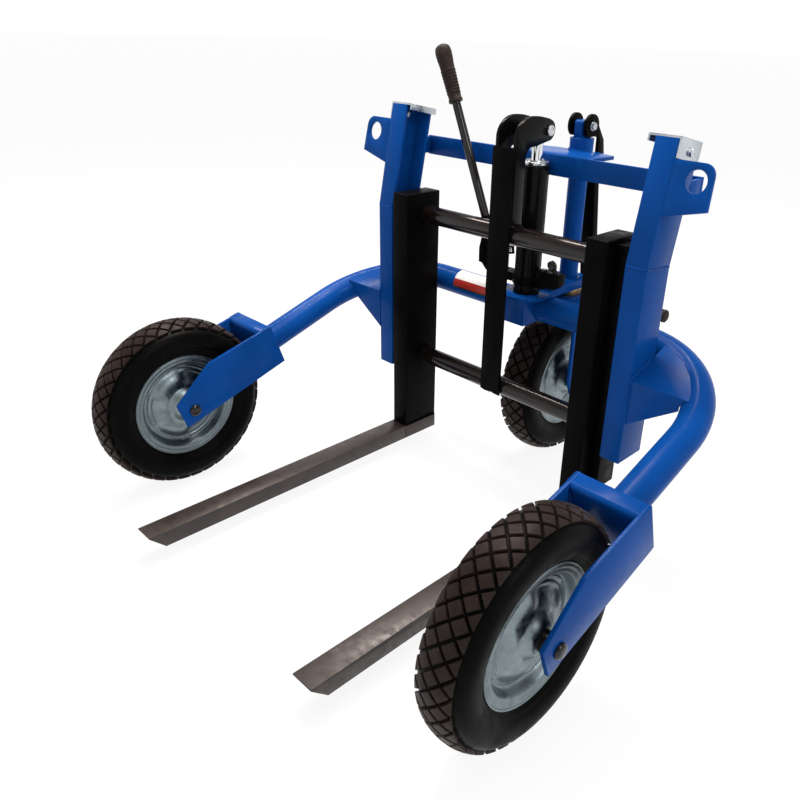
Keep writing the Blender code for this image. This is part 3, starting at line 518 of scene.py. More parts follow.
def tilted(x, depth, height):
    """A point of the upper mast: depth behind its front face, height along it above the bend."""
    sin, cos = math.sin(MAST_TILT), math.cos(MAST_TILT)
    return Vector((x, MAST_Y0 + height * sin + depth * cos,
                   MAST_BEND_Z + height * cos - depth * sin))


# ---- wheels

def spline(points, count):
    """Evenly spaced points on a smooth curve through the given points, and its length."""
    dense = []
    ends = [points[0]] + list(points) + [points[-1]]
    for a, b, c, d in zip(ends, ends[1:], ends[2:], ends[3:]):
        for k in range(24):
            t = k / 24.0
            dense.append([0.5 * (2.0 * b[i] + (c[i] - a[i]) * t
                                 + (2.0 * a[i] - 5.0 * b[i] + 4.0 * c[i] - d[i]) * t * t
                                 + (3.0 * b[i] - a[i] - 3.0 * c[i] + d[i]) * t ** 3)
                          for i in (0, 1)])
    dense.append(list(points[-1]))
    lengths = [0.0]
    for a, b in zip(dense, dense[1:]):
        lengths.append(lengths[-1] + math.dist(a, b))
    found = []
    index = 0
    for k in range(count):
        target = lengths[-1] * k / (count - 1)
        while index < len(dense) - 2 and lengths[index + 1] < target:
            index += 1
        span = max(lengths[index + 1] - lengths[index], 1e-12)
        t = min(1.0, (target - lengths[index]) / span)
        a, b = dense[index], dense[index + 1]
        found.append((a[0] + (b[0] - a[0]) * t, a[1] + (b[1] - a[1]) * t))
    return found, lengths[-1]


# Outer surface of the tread from the crown towards one shoulder: (radius, x).
TREAD_LINE = ((0.2, 0.0), (0.1992, 0.011), (0.1969, 0.0215), (0.1928, 0.0315),
              (0.187, 0.0392), (0.1805, 0.0445), (0.174, 0.0478))
TREAD_STEPS = 120
TREAD_POINTS, TREAD_LENGTH = spline(TREAD_LINE, TREAD_STEPS + 1)
TREAD_COUNT = 36  # blocks in one row round the wheel
BLOCK_WIDTH = 0.036
TREAD_EDGE = 0.0378
TREAD_DEPTH = 0.0068
GROOVE = 0.2  # share of a block's pitch


def tread_point(turn, across, depth):
    """A point on the tread: turn round the wheel, distance from the crown, depth below."""
    at = min(abs(across) / TREAD_LENGTH * TREAD_STEPS, TREAD_STEPS - 0.001)
    low = int(at)
    t = at - low
    a, b = TREAD_POINTS[low], TREAD_POINTS[low + 1]
    r, x = a[0] + (b[0] - a[0]) * t, a[1] + (b[1] - a[1]) * t
    length = max(math.hypot(b[0] - a[0], b[1] - a[1]), 1e-12)
    r -= depth * (b[1] - a[1]) / length
    x += depth * (b[0] - a[0]) / length
    return r, math.copysign(x, across), turn


def clip(points, low, high):
    """Cut a (turn, across) polygon to a band of across."""
    for limit, sign in ((high, 1.0), (low, -1.0)):
        kept = []
        for (u0, v0), (u1, v1) in zip(points, points[1:] + points[:1]):
            in0 = (limit - v0) * sign >= 0.0
            in1 = (limit - v1) * sign >= 0.0
            if in0:
                kept.append((u0, v0))
            if in0 != in1:
                t = (limit - v0) / (v1 - v0)
                kept.append((u0 + (u1 - u0) * t, limit))
        points = kept
    return points


def tread_blocks(bm, place):
    """Raised diamond blocks in a lattice, cut off along both shoulders."""
    pitch = math.tau / TREAD_COUNT
    for row in range(-2, 3):
        centre_v = row * 0.5 * BLOCK_WIDTH
        for k in range(TREAD_COUNT):
            centre_u = (k + (0.5 if row % 2 else 0.0)) * pitch
            reach_u = 0.5 * pitch * (1.0 - GROOVE)
            reach_v = 0.5 * BLOCK_WIDTH * (1.0 - GROOVE)
            diamond = [(-reach_u, 0.0), (0.0, -reach_v), (reach_u, 0.0), (0.0, reach_v)]
            corners = [(centre_u + u, centre_v + v) for u, v in diamond]
            corners = clip(corners, -TREAD_EDGE, TREAD_EDGE)
            if len(corners) < 3:
                continue
            outline = []
            for (u0, v0), (u1, v1) in zip(corners, corners[1:] + corners[:1]):
                for part in range(3):
                    t = part / 3.0
                    outline.append((u0 + (u1 - u0) * t, v0 + (v1 - v0) * t))
            mean_u = sum(u for u, _ in outline) / len(outline)
            mean_v = sum(v for _, v in outline) / len(outline)
            rings = []
            for scale, depth in ((1.04, TREAD_DEPTH + 0.0022), (0.99, 0.0008), (0.93, 0.0), (0.5, 0.0)):
                rings.append([bm.verts.new(place(*tread_point(
                    mean_u + (u - mean_u) * scale, mean_v + (v - mean_v) * scale, depth)))
                    for u, v in outline])
            bands(bm, rings)
            middle = bm.verts.new(place(*tread_point(mean_u, mean_v, 0.0)))
            for a, b in zip(rings[-1], rings[-1][1:] + rings[-1][:1]):
                bm.faces.new((a, b, middle))
            bm.faces.new(rings[0][::-1])


def build_tyre(tag, centre, body):
    cx, cy, cz = centre

    def place(r, x, turn):
        return Vector((cx + x, cy + r * math.cos(turn), cz + r * math.sin(turn)))

    crown = [tread_point(0.0, v, TREAD_DEPTH)[:2] for v in (0.0, 0.008, 0.016, 0.024, 0.031, 0.036)]
    wall = [(0.1826, 0.0352), (0.1805, 0.0388), (0.1775, 0.0422), (0.1735, 0.045),
            (0.17, 0.0464), (0.166, 0.0476), (0.16, 0.0482), (0.152, 0.048), (0.144, 0.0464),
            (0.1385, 0.044), (0.135, 0.0414), (0.1332, 0.0398), (0.1312, 0.0396),
            (0.1296, 0.0382), (0.127, 0.0356), (0.1248, 0.0334), (0.1205, 0.0298),
            (0.1165, 0.028), (0.116, 0.017), (0.138, 0.033), (0.16, 0.039),
            (0.176, 0.032), (0.186, 0.018)]
    half = crown + wall
    bm = lathe(half + [(r, -x) for r, x in half[:0:-1]], "x", centre, 144)
    new_piece("tyre_rubber_" + tag, bm, body, TYRE_RUBBER, ["tyre_" + tag], angle=38.0)
    bm = bmesh.new()
    tread_blocks(bm, place)
    new_piece("tyre_tread_" + tag, bm, body, TREAD_RUBBER_PAINTED_SHEEN, angle=38.0)


def smooth(value, low, high):
    t = min(1.0, max(0.0, (value - low) / (high - low)))
    return t * t * (3.0 - 2.0 * t)


def rim_height(r, turn):
    """Height of the pressed disc above the wheel's middle plane."""
    lobe = smooth(math.cos(3.0 * turn), -0.6, 0.6)
    height = 0.043 - 0.015 * smooth(r, 0.023, 0.044)
    height -= 0.015 * smooth(r, 0.04, 0.082 + 0.006 * lobe)
    height += 0.006 * lobe * (smooth(r, 0.046, 0.068) - smooth(r, 0.07, 0.088))
    ridge = smooth(-math.cos(3.0 * turn), -0.1, 0.45)
    for middle in (0.08, 0.0905):
        height += 0.0026 * ridge * (smooth(r, middle - 0.005, middle - 0.0008)
                                    - smooth(r, middle + 0.0008, middle + 0.005))
    height += 0.0185 * smooth(r, 0.093, 0.106)
    height += 0.002 * smooth(r, 0.112, 0.115)
    return height


def build_rim(tag, centre, body):
    """Pressed disc and rim in one, the same on both sides of the wheel."""
    cx, cy, cz = centre
    bm = bmesh.new()
    turns = 180
    radii = [0.0183, 0.02, 0.0225, 0.025]
    radii += [0.025 + 0.0925 * k / 62.0 for k in range(1, 63)]
    edge = [(0.1195, 0.0323), (0.1212, 0.0331), (0.1224, 0.0334), (0.123, 0.0326),
            (0.123, 0.0305), (0.122, 0.03), (0.1165, 0.0285), (0.1157, 0.0275)]
    rows = []
    for k in range(turns):
        turn = math.tau * k / turns
        half = [(0.0183, 0.03)] + [(r, rim_height(r, turn)) for r in radii] + edge
        rows.append([bm.verts.new((cx + x, cy + r * math.cos(turn), cz + r * math.sin(turn)))
                     for r, x in mirrored(half)])
    bands(bm, rows, closed=True)
    new_piece("rim_disc_" + tag, bm, body, ZINC, ["rim_" + tag], angle=50.0)


def build_wheel(tag, centre, half_gap, body, axle_body):
    build_tyre(tag, centre, body)
    build_rim(tag, centre, body)
    hub = half_gap - 0.0015
    sleeve = mirrored([(0.018, 0.05), (0.0176, 0.0512), (0.015, 0.052), (0.015, hub - 0.001),
                       (0.0145, hub), (0.0103, hub)])
    new_piece("hub_sleeve_" + tag, lathe(sleeve, "x", centre, 48), body, GLOSS_BLACK_PAINTED_REFLECTION, ["bearing_" + tag])
    face = half_gap + PLATE + GAP
    end = face + 0.008
    half = [(0.01, face), (0.0135, face), (0.0137, face + 0.0012), (0.0135, face + 0.003),
            (0.0122, face + 0.0055), (0.0095, face + 0.0072), (0.006, end - 0.0002), (0.0, end)]
    new_piece("axle_bolt_" + tag, lathe(mirrored(half), "x", centre, 48), axle_body, GLOSS_BLACK_PAINTED_REFLECTION,
              ["axle_" + tag])


def build_wheels():
    for side, tag in SIDES:
        build_wheel(tag, (side * FRONT_X, FRONT_Y, TYRE_R), FRONT_GAP, "wheel_" + tag, "frame")
    build_wheel("rear", (0.0, REAR_Y, TYRE_R), REAR_GAP, "wheel_rear", "steer")


# ---- frame

def tube_line(end):
    """The middle line of the bent tube, from one end round to the other."""
    straight = TUBE_X - TUBE_BEND
    line = [(0.0, 0.0), (0.15, 0.0)] + arc(straight, TUBE_BEND, TUBE_BEND, -90.0, 0.0, 28) + [(TUBE_X, end)]
    half = [slope_point(x, along, 0.0) for x, along in line]
    return [Vector((-p.x, p.y, p.z)) for p in half[:0:-1]] + half


def build_tube():
    path = tube_line(HEAD_S1 - PLATE - GAP)
    bm = sweep(path, [TUBE_R] * len(path), 56)
    new_piece("frame_tube_skin", bm, "frame", BLUE, ["frame_tube"])


def head_outline():
    """Section (along, above) of the bent head plate of a wheel yoke."""
    rear = HEAD_S0 + 0.0007
    return ([(rear, 0.064), (HEAD_S1 - 0.015, 0.064), (HEAD_S1 - 0.01, 0.0625),
             (HEAD_S1 - PLATE, 0.058), (HEAD_S1 - PLATE, -0.029), (HEAD_S1 + 0.0003, -0.029)]
            + arc(HEAD_S1 - 0.011, 0.0622, 0.0113, 0.0, 80.0, 8)
            + [(HEAD_S1 - 0.011, 0.0733), (rear, 0.0713)])


def build_yoke(side, tag):
    """The two side plates and the bent head plate that hold a front wheel."""
    outline = rounded([(HEAD_S0, -0.032), (0.728, -0.03), (0.728, 0.033),
                       (0.617, 0.082), (HEAD_S1, 0.0745), (HEAD_S0, 0.072)], 0.0025, 3)
    bm = prism(outline, "x", ARM_OUT - PLATE, ARM_OUT)
    prism(outline, "x", ARM_IN, ARM_IN + PLATE, bm)
    prism(head_outline(), "x", ARM_IN + 0.0015, ARM_OUT - 0.0015, bm)
    mapped(bm, slope_point)
    new_piece("yoke_plates_" + tag, sided(bm, side), "frame", BLUE,
              ["wheel_yoke_" + tag], bevel=0.0011)
    bm = bmesh.new()
    for x in (ARM_IN + PLATE, ARM_OUT - PLATE):
        inward = 0.0012 if x < FRONT_X else -0.0012
        line = [slope_point(x + inward, HEAD_S1 + 0.001, n) for n in (-0.026, 0.056)]
        weld(line, 0.0026, bm)
        line = [slope_point(x + inward, HEAD_S0 + 0.003, 0.063), slope_point(x + inward, 0.46, 0.063)]
        weld(line, 0.0024, bm)
    for x, out in ((ARM_IN, -1.0), (ARM_OUT, 1.0)):
        line = [slope_point(x - out * 0.001, s, n) for s, n in ((0.443, 0.0722), (0.47, 0.0737))]
        weld(line, 0.0016, bm)
    ring = arc(TUBE_X, 0.0, TUBE_R + 0.001, 0.0, 360.0 * 43 / 44, 43)
    weld([slope_point(x, HEAD_S1 - PLATE - 0.002, n) for x, n in ring], 0.0035, bm, closed=True)
    new_piece("yoke_welds_" + tag, sided(bm, side), "frame", BLUE)


def mast_section():
    """Outline of the mast channel in (x, y), open towards the carriage."""
    y0, y1, t = MAST_Y0, MAST_Y1, MAST_T
    return [(MAST_IN, y0), (MAST_OUT, y0), (MAST_OUT, y1), (MAST_IN, y1),
            (MAST_IN, y1 - t), (MAST_OUT - t, y1 - t), (MAST_OUT - t, y0 + t), (MAST_IN, y0 + t)]


def plate_with_hole(outline, centre, radius, low, high, count=36):
    """A flat plate in (x, height) with one round hole, between two depths."""
    bm = bmesh.new()
    cx, cy = centre

    def ray(angle):
        """Where a ray from the hole's centre meets the outline."""
        dx, dy = math.cos(angle), math.sin(angle)
        best = None
        for (x0, y0), (x1, y1) in zip(outline, outline[1:] + outline[:1]):
            ex, ey = x1 - x0, y1 - y0
            det = ex * dy - ey * dx
            if abs(det) < 1e-12:
                continue
            t = (ex * (y0 - cy) - ey * (x0 - cx)) / det
            u = (dx * (y0 - cy) - dy * (x0 - cx)) / det
            if t > 0.0 and -1e-9 <= u <= 1.0 + 1e-9 and (best is None or t < best):
                best = t
        return cx + dx * best, cy + dy * best

    angles = [math.tau * k / count for k in range(count)]
    angles += [math.atan2(y - cy, x - cx) % math.tau for x, y in outline]
    angles = sorted(set(round(a, 6) for a in angles))
    outer = [ray(a) for a in angles]
    inner = [(cx + radius * math.cos(a), cy + radius * math.sin(a)) for a in angles]
    sheets = []
    for depth in (low, high):
        sheets.append(([bm.verts.new((x, depth, h)) for x, h in outer],
                       [bm.verts.new((x, depth, h)) for x, h in inner]))
    front, back = sheets
    for a, b in (front, back, *zip(front, back)):
        band(bm, a, b)
    return bm


def build_mast(side, tag):
    cad_piece("mast_foot_" + tag, "mast_lower_" + tag, "frame", BLUE, bevel=0.0016, segments=3)
    section = [(x, y - MAST_Y0) for x, y in mast_section()]
    bm = loft([tilted(x, depth, depth * math.tan(0.5 * MAST_TILT) + GAP) for x, depth in section],
              [tilted(x, depth, MAST_TOP) for x, depth in section])
    x0 = MAST_OUT - 0.0005
    outline = [(x0, 0.098), (0.453, 0.119), (0.45, 0.178)]
    outline += arc(0.428, 0.177, 0.022, 15.0, 90.0, 12)
    outline += [(x0, 0.199)]
    ear = plate_with_hole(outline, (0.4195, 0.1665), 0.0205, 0.0006, PLATE + 0.0006)
    absorb(bm, mapped(ear, tilted))
    new_piece("mast_head_" + tag, sided(bm, side), "frame", BLUE,
              ["mast_upper_" + tag], bevel=0.0012)
    bm = bmesh.new()
    bend = [(x, MAST_Y0 - 0.0002, MAST_BEND_Z) for x in (MAST_IN + 0.001, MAST_OUT - 0.001)]
    weld(bend, 0.0017, bm)
    drop = (MAST_Y1 - MAST_Y0) * math.tan(0.5 * MAST_TILT)
    weld([(MAST_OUT + 0.0002, MAST_Y0 + 0.001, MAST_BEND_Z),
          (MAST_OUT + 0.0002, MAST_Y1 - 0.001, MAST_BEND_Z - drop)], 0.0017, bm)
    weld([tilted(MAST_OUT + 0.0008, PLATE + 0.0016, h) for h in (0.102, 0.195)], 0.0026, bm)
    new_piece("mast_welds_" + tag, sided(bm, side), "frame", BLUE)
    build_stop(side, tag)
    cad_piece("gusset_" + tag, "side_bracket_" + tag, "frame", BLUE, bevel=0.0009)
    bm = bmesh.new()
    weld([(MAST_OUT + 0.0012, 0.129, z) for z in (0.306, 0.394)], 0.0028, bm)
    weld([(MAST_OUT + 0.0012, 0.12, z) for z in (0.306, 0.39)], 0.0022, bm)
    top = [slope_point(MAST_OUT + 0.0015, s, 0.0312) for s in (0.165, 0.082)]
    weld(top, 0.0028, bm)
    new_piece("gusset_welds_" + tag, sided(bm, side), "frame", BLUE)


def build_stop(side, tag):
    """Zinc clip over the mast top, and its bolt through the mast's outer wall."""
    t = 0.004
    bend = 0.0025
    top = MAST_TOP + GAP
    out = MAST_OUT + GAP
    lip = 0.3075
    outline = [(out, 0.2), (out + t, 0.2)]
    outline += arc(out + t - bend, top + t - bend, bend, 0.0, 90.0, 5)
    outline += arc(lip + bend, top + t - bend, bend, 90.0, 180.0, 5)
    outline += [(lip, top - 0.01), (lip + t, top - 0.01), (lip + t, top), (out, top)]
    bm = mapped(prism(outline, "y", 0.002, 0.084), tilted)
    new_piece("stop_clip_" + tag, sided(bm, side), "frame", BRIGHT_ZINC,
              ["stop_bracket_" + tag], bevel=0.0006)
    head = out + t + GAP
    tail = MAST_OUT - MAST_T - GAP
    depth, height = 0.043, 0.214
    centre = (0.0, depth, height)
    bm = rod(0.0084, head, head + 0.0012, "x", centre, 32)
    rod(0.005, tail, head, "x", centre, 24, bm)
    hexagon(depth, height, 0.0085, 0.0, "x", head + 0.0012, head + 0.006, bm)
    hexagon(depth, height, 0.008, 20.0, "x", tail - 0.006, tail, bm)
    mapped(bm, tilted)
    new_piece("stop_screw_" + tag, sided(bm, side), "frame", BRIGHT_ZINC,
              ["stop_bolt_" + tag], bevel=0.0005)


def build_cross():
    y0, y1 = 0.283, 0.291
    z0, z1 = 0.727, 0.7715
    bm = box(-0.368, 0.368, y0, y1, z0, z1)
    for side in BOTH:
        foot = tilted(0.0, 0.0866, 0.127)
        head = tilted(0.0, 0.0866, 0.166)
        outline = [(foot.y, foot.z), (y0 + 0.002, z0 + 0.004), (y0 + 0.002, z1 - 0.002),
                   (head.y, head.z)]
        absorb(bm, sided(prism(outline, "x", 0.3595, 0.3675), side))
    new_piece("crossbar_flat", bm, "frame", BLUE, ["crossbar"], bevel=0.0012)
    bm = bmesh.new()
    weld([(x, 0.2912, 0.771) for x in (-0.1, 0.1)], 0.002, bm)
    weld([(x, 0.292, 0.761) for x in (-0.1, 0.1)], 0.003, bm)
    for side in BOTH:
        for x in (0.3585, 0.3685):
            foot = tilted(side * x, 0.0872, 0.13)
            weld([foot, tilted(side * x, 0.0872, 0.163)], 0.0022, bm)
    new_piece("crossbar_welds", bm, "frame", BLUE)
    cad_piece("column_shelf", "column_plate", "frame", BLUE, bevel=0.001)
    low, high = 0.735, 0.7955
    profile = rounded([(0.0229, low), (0.0275, low), (0.0275, high), (0.0229, high)], 0.001)
    bm = lathe(profile, "z", (0.0, REAR_Y, 0.0), 64)
    ring = arc(0.0, REAR_Y, 0.0282, 0.0, 351.0, 39)
    weld([(x, y, 0.7706) for x, y in ring if y < 0.402], 0.0018, bm)
    new_piece("column_collar", bm, "frame", BLUE, ["column_sleeve"])


def build_seat():
    cad_piece("jack_saddle", "jack_seat", "frame", BLUE, bevel=0.0012, angle=40.0)
    cad_piece("steer_block", "steer_housing", "frame", BLUE, bevel=0.0012, angle=40.0)
    low, high = 0.4283, 0.4477
    profile = rounded([(0.0229, low), (0.036, low), (0.036, high), (0.0229, high)], 0.0012)
    new_piece("bush_ring", lathe(profile, "z", (0.0, REAR_Y, 0.0), 64), "frame", BRONZE, ["steer_bush"])
    bm = bmesh.new()
    weld([(x, 0.3105, 0.4475) for x in (-0.04, 0.04)], 0.0032, bm)
    weld([(x, 0.289, 0.456) for x in (-0.055, 0.055)], 0.003, bm)
    new_piece("seat_welds", bm, "frame", BLUE)


def build_label():
    """A film round the front and top of the bent tube, thinner along its cut ends."""
    bm = bmesh.new()
    rows = []
    inner = arc(TUBE_Y, TUBE_Z, TUBE_R + 0.0003, 92.0, 188.0, 24)
    for x, lift in ((-0.232, 0.0007), (-0.2315, 0.0009), (-0.1005, 0.0009), (-0.1, 0.0007)):
        outer = arc(TUBE_Y, TUBE_Z, TUBE_R + lift, 188.0, 92.0, 24)
        rows.append([bm.verts.new((x, y, z)) for y, z in outer + inner])
    bands(bm, rows)
    bm.faces.new(rows[0])
    bm.faces.new(rows[-1][::-1])
    new_piece("plain_label", bm, "frame", ("label", label_film()), ["label_plate"])


# ---- carriage

def build_carriage():
    for side, tag in SIDES:
        cad_piece("post_box_" + tag, "post_" + tag, "carriage", BLACK, bevel=0.0024, segments=3)
        front = POST_Y0 - GAP
        blade = [(front, FORK_Z0), (front, FORK_Z1), (FORK_TIP_Y, FORK_Z1),
                 (FORK_TIP_Y, FORK_Z1 - 0.003), (FORK_TIP_Y + 0.033, FORK_Z0)]
        bm = prism(blade, "x", POST_IN - 0.001, POST_OUT + 0.001)
        box(POST_IN - 0.001, POST_OUT + 0.001, front - 0.004, POST_Y1, FORK_Z0, FORK_Z1 - 0.0005, bm)
        new_piece("fork_blade_" + tag, sided(bm, side), "carriage", FORK_BLACK_PAINTED_REFLECTION, ["fork_" + tag], bevel=0.0012)
        cad_piece("rail_bar_" + tag, "guide_rail_" + tag, "carriage", BLACK, bevel=0.0012)
        cad_piece("wear_pad_" + tag, "slide_pad_" + tag, "carriage", NYLON, bevel=0.0015)
        bm = bmesh.new()
        for z in BAR_ZS:
            ring = arc(BAR_Y, z, BAR_R + 0.0012, 0.0, 350.0, 35)
            weld([(POST_IN - 0.0012, y, h) for y, h in ring], 0.0032, bm, closed=True)
        for y in (0.0975, 0.2055):
            weld([(x, y, 0.066) for x in (POST_IN + 0.002, POST_OUT - 0.002)], 0.0026, bm)
        weld([(POST_IN - 0.0008, y, 0.066) for y in (0.1, 0.203)], 0.0026, bm)
        new_piece("post_welds_" + tag, sided(bm, side), "carriage", BLACK)
    reach = POST_IN - GAP
    for z, tag in zip(BAR_ZS, ("lower", "upper")):
        profile = rounded([(0.017, -reach), (BAR_R, -reach), (BAR_R, reach), (0.017, reach)], 0.0006)
        new_piece("cross_tube_" + tag, lathe(profile, "x", (0.0, BAR_Y, z), 56), "carriage",
                  GLOSS_BLACK_PAINTED_REFLECTION, ["bar_" + tag])


def cheek_outline():
    points = [(0.142, 0.636), (0.177, 0.636), (0.175, 0.7687)]
    points += [(0.179, 0.7835), (0.188, 0.7925), (0.2, 0.7945), (0.211, 0.795)]
    points += [(0.223, 0.7975)]
    points += arc(JACK_Y, PIN_Z, 0.022, -72.0, 62.0, 20)
    points += [(0.248, 0.8475), (0.236, 0.85), (0.218, 0.8533), (0.202, 0.8546),
               (0.19, 0.8547), (0.178, 0.853), (0.168, 0.8495), (0.159, 0.844),
               (0.151, 0.8365), (0.1455, 0.828), (0.1423, 0.818), (0.142, 0.808)]
    return points


def build_channel():
    """Lift channel on the front of the cross tubes, its two hooked cheeks and the ram's pin."""
    bm = box(-0.028, 0.028, 0.134, 0.142, 0.242, 0.796)
    new_piece("channel_face", bm, "carriage", BLACK, ["lift_channel"],
              bevel=0.0014)
    bm = bmesh.new()
    for x0, x1 in ((-0.028, -0.02), (0.02, 0.028)):
        prism(cheek_outline(), "x", x0, x1, bm)
    new_piece("channel_cheeks", bm, "carriage", SATIN_BLACK, ["lift_channel"],
              bevel=0.001)
    bm = bmesh.new()
    for side in BOTH:
        weld([(side * 0.0278, 0.1425, z) for z in (0.64, 0.795)], 0.002, bm)
        around = arc(BAR_Y, BAR_ZS[1], BAR_R + 0.001, 5.0, 173.0, 14)
        curve = [(side * 0.0285, y, z) for y, z in around]
        weld(curve, 0.0034, bm)
        for z in BAR_ZS:
            for dz in (-0.0155, 0.0155):
                weld([(side * x, 0.1432, z + dz) for x in (0.026, 0.004)],
                     0.0024, bm)
    new_piece("channel_welds", bm, "carriage", BLACK)
    ends = 0.029
    half = [(0.0095, ends), (0.0108, ends), (0.011, ends + 0.0006), (0.011, ends + 0.005),
            (0.0102, ends + 0.006), (0.007, ends + 0.006), (0.0062, ends + 0.0052),
            (0.0, ends + 0.0052)]
    bm = lathe(mirrored(half), "x", (0.0, JACK_Y, PIN_Z), 48)
    new_piece("ram_pin", bm, "carriage", STEEL_X, ["lift_pin"])


# ---- jack and pump

def build_jack():
    """Cylinder, gland, ram and the pump casting with its plugs."""
    centre = (0.0, JACK_Y, 0.0)
    z0, z1 = 0.4646, 0.7515
    profile = rounded([(0.0, z0, 0.0), (0.031, z0, 0.0028), (0.031, 0.476, 0.0002),
                       (0.0302, 0.4768, 0.0002), (0.0302, 0.74, 0.0002), (0.031, 0.7408, 0.0002),
                       (0.031, z1, 0.0015), (0.024, z1, 0.0006), (0.024, 0.5, 0.0),
                       (0.0, 0.5, 0.0)], 0.0)
    new_piece("cylinder_tube", lathe(profile, "z", centre, 64), "frame", SATIN_BLACK, ["jack_cylinder"])
    low = z1 - 0.012
    profile = [(0.0128, low), (0.0237, low), (0.0237, z1 + GAP), (0.0282, z1 + GAP),
               (0.0285, z1 + 0.0008), (0.0285, z1 + 0.0064), (0.0275, z1 + 0.0074),
               (0.0215, z1 + 0.0078), (0.0205, z1 + 0.0098), (0.0165, z1 + 0.01),
               (0.015, z1 + 0.009), (0.0128, z1 + 0.0094)]
    new_piece("gland_nut", lathe(profile, "z", centre, 64), "frame", STEEL_Z, ["jack_gland"])
    crown = PIN_Z - 0.012
    profile = [(0.0, 0.515), (0.0115, 0.515), (0.0125, 0.516), (0.0125, crown), (0.0, crown)]
    bm = lathe(profile, "z", centre, 48)
    box(-0.018, 0.018, JACK_Y - 0.012, JACK_Y + 0.012, PIN_Z - 0.018, PIN_Z + 0.013, bm)
    new_piece("ram_rod", bm, "carriage", CHROME, ["ram"], bevel=0.001)
    cad_piece("pump_casting", "pump_block", "frame", BLACK, bevel=0.001, angle=40.0)
    bm = bmesh.new()
    for x, z in ((-0.0875, 0.5048), (0.05, 0.5253)):
        hexagon(x, JACK_Y, 0.006, 0.0, "z", z, z + 0.004, bm)
    new_piece("pump_plugs", bm, "frame", BRIGHT_ZINC, bevel=0.0006)


def build_lever():
    """Plunger with its pin, the pivot bolt, and the lever's socket, bar and grip."""
    pin = (PLUNGER_X, JACK_Y, 0.5472)
    profile = rounded([(0.0, 0.493, 0.0), (0.008, 0.493, 0.0008), (0.008, 0.5552, 0.0012),
                       (0.0, 0.5552, 0.0)], 0.0)
    bm = lathe(profile, "z", (PLUNGER_X, JACK_Y, 0.0), 40)
    lathe([(0.0, -0.0165), (0.0036, -0.0165), (0.004, -0.016), (0.004, 0.016),
           (0.0036, 0.0165), (0.0, 0.0165)], "y", pin, 24, bm)
    new_piece("pump_plunger", bm, "plunger", STEEL_Z, ["plunger"])
    end = 0.0162
    bm = rod(0.005, -end, end, "y", tuple(PIVOT), 32)
    for low in (-end - 0.006, end):
        hexagon(PIVOT.x, PIVOT.z, 0.0088, 10.0, "y", JACK_Y + low, JACK_Y + low + 0.006, bm)
    new_piece("pivot_bolt", bm, "frame", BLACK, ["lever_pivot"], bevel=0.0006)
    cad_piece("lever_holder", "lever_socket", "lever", BLACK, bevel=0.0007, angle=40.0)
    place = Matrix.Translation(PIVOT + LEVER_FOOT) @ Matrix.Rotation(-LEVER_ANGLE, 4, "Y")
    screw_z = 0.072
    bm = rod(0.0075, -0.0165, -0.015, "y", (0.0, 0.0, screw_z), 32)
    hexagon(0.0, screw_z, 0.0062, 0.0, "y", -0.0205, -0.015, bm)
    new_piece("clamp_screw", moved(bm, place), "lever", BRIGHT_ZINC, bevel=0.0005)
    profile = [(0.0, 0.03), (0.0095, 0.03), (0.01, 0.0305), (0.01, 0.475), (0.0, 0.475)]
    bm = moved(lathe(profile, "z", ORIGIN, 48), place)
    new_piece("lever_bar", bm, "lever", GLOSS_BLACK_PAINTED_REFLECTION, ["lever_rod"])
    grip = [(0.0103, 0.351), (0.0158, 0.351), (0.0165, 0.3517), (0.0165, 0.356),
            (0.0158, 0.3585), (0.015, 0.36), (0.0151, 0.366)]
    for z in (0.372, 0.379, 0.386, 0.393, 0.4, 0.407, 0.414, 0.421):
        taper = 0.0151 + (z - 0.366) * 0.026
        grip += [(taper, z - 0.0024), (taper + 0.0009, z - 0.0015), (taper + 0.0009, z + 0.0015),
                 (taper, z + 0.0024)]
    grip += [(0.0167, 0.429), (0.0172, 0.437), (0.0183, 0.446), (0.0189, 0.456),
             (0.0189, 0.463), (0.0178, 0.47), (0.0155, 0.475), (0.0113, 0.4783),
             (0.006, 0.4804), (0.0, 0.4809), (0.0, 0.4753), (0.0103, 0.4753)]
    bm = lathe(grip, "z", ORIGIN, 56)
    for k in range(4):
        turn = math.tau * k / 4.0 + 0.4
        side = Vector((math.cos(turn), math.sin(turn), 0.0))
        sweep([side * 0.0158 + Vector((0.0, 0.0, 0.43)), side * 0.0176 + Vector((0.0, 0.0, 0.452))],
              [0.001, 0.001], 10, bm)
    new_piece("lever_handle", moved(bm, place), "lever", GRIP_RUBBER, ["lever_grip"],
              angle=40.0)


def build_knob():
    """Fluted release knob on its leaning spindle."""
    place = Matrix.Translation(RELEASE) @ Matrix.Rotation(-RELEASE_LEAN, 4, "Y")
    profile = [(0.0, -0.005), (0.005, -0.005), (0.005, 0.0178), (0.0064, 0.0181),
               (0.0074, 0.019), (0.0086, 0.0215), (0.009, 0.024), (0.0091, 0.032),
               (0.0088, 0.035), (0.008, 0.0375), (0.0064, 0.0391), (0.004, 0.0399), (0.0, 0.04)]
    bm = lathe(profile, "z", ORIGIN, 40)
    flutes = 8
    for k in range(flutes):
        turn = math.tau * k / flutes
        side = Vector((math.cos(turn), math.sin(turn), 0.0)) * 0.0088
        rib = [side + Vector((0.0, 0.0, z)) for z in (0.0225, 0.0245, 0.0325, 0.0345)]
        sweep(rib, [0.0006, 0.0014, 0.0014, 0.0006], 8, bm)
    new_piece("release_handle", moved(bm, place), "release", GLOSS_BLACK_PAINTED_REFLECTION,
              ["release_knob"], angle=40.0)


# ---- steering

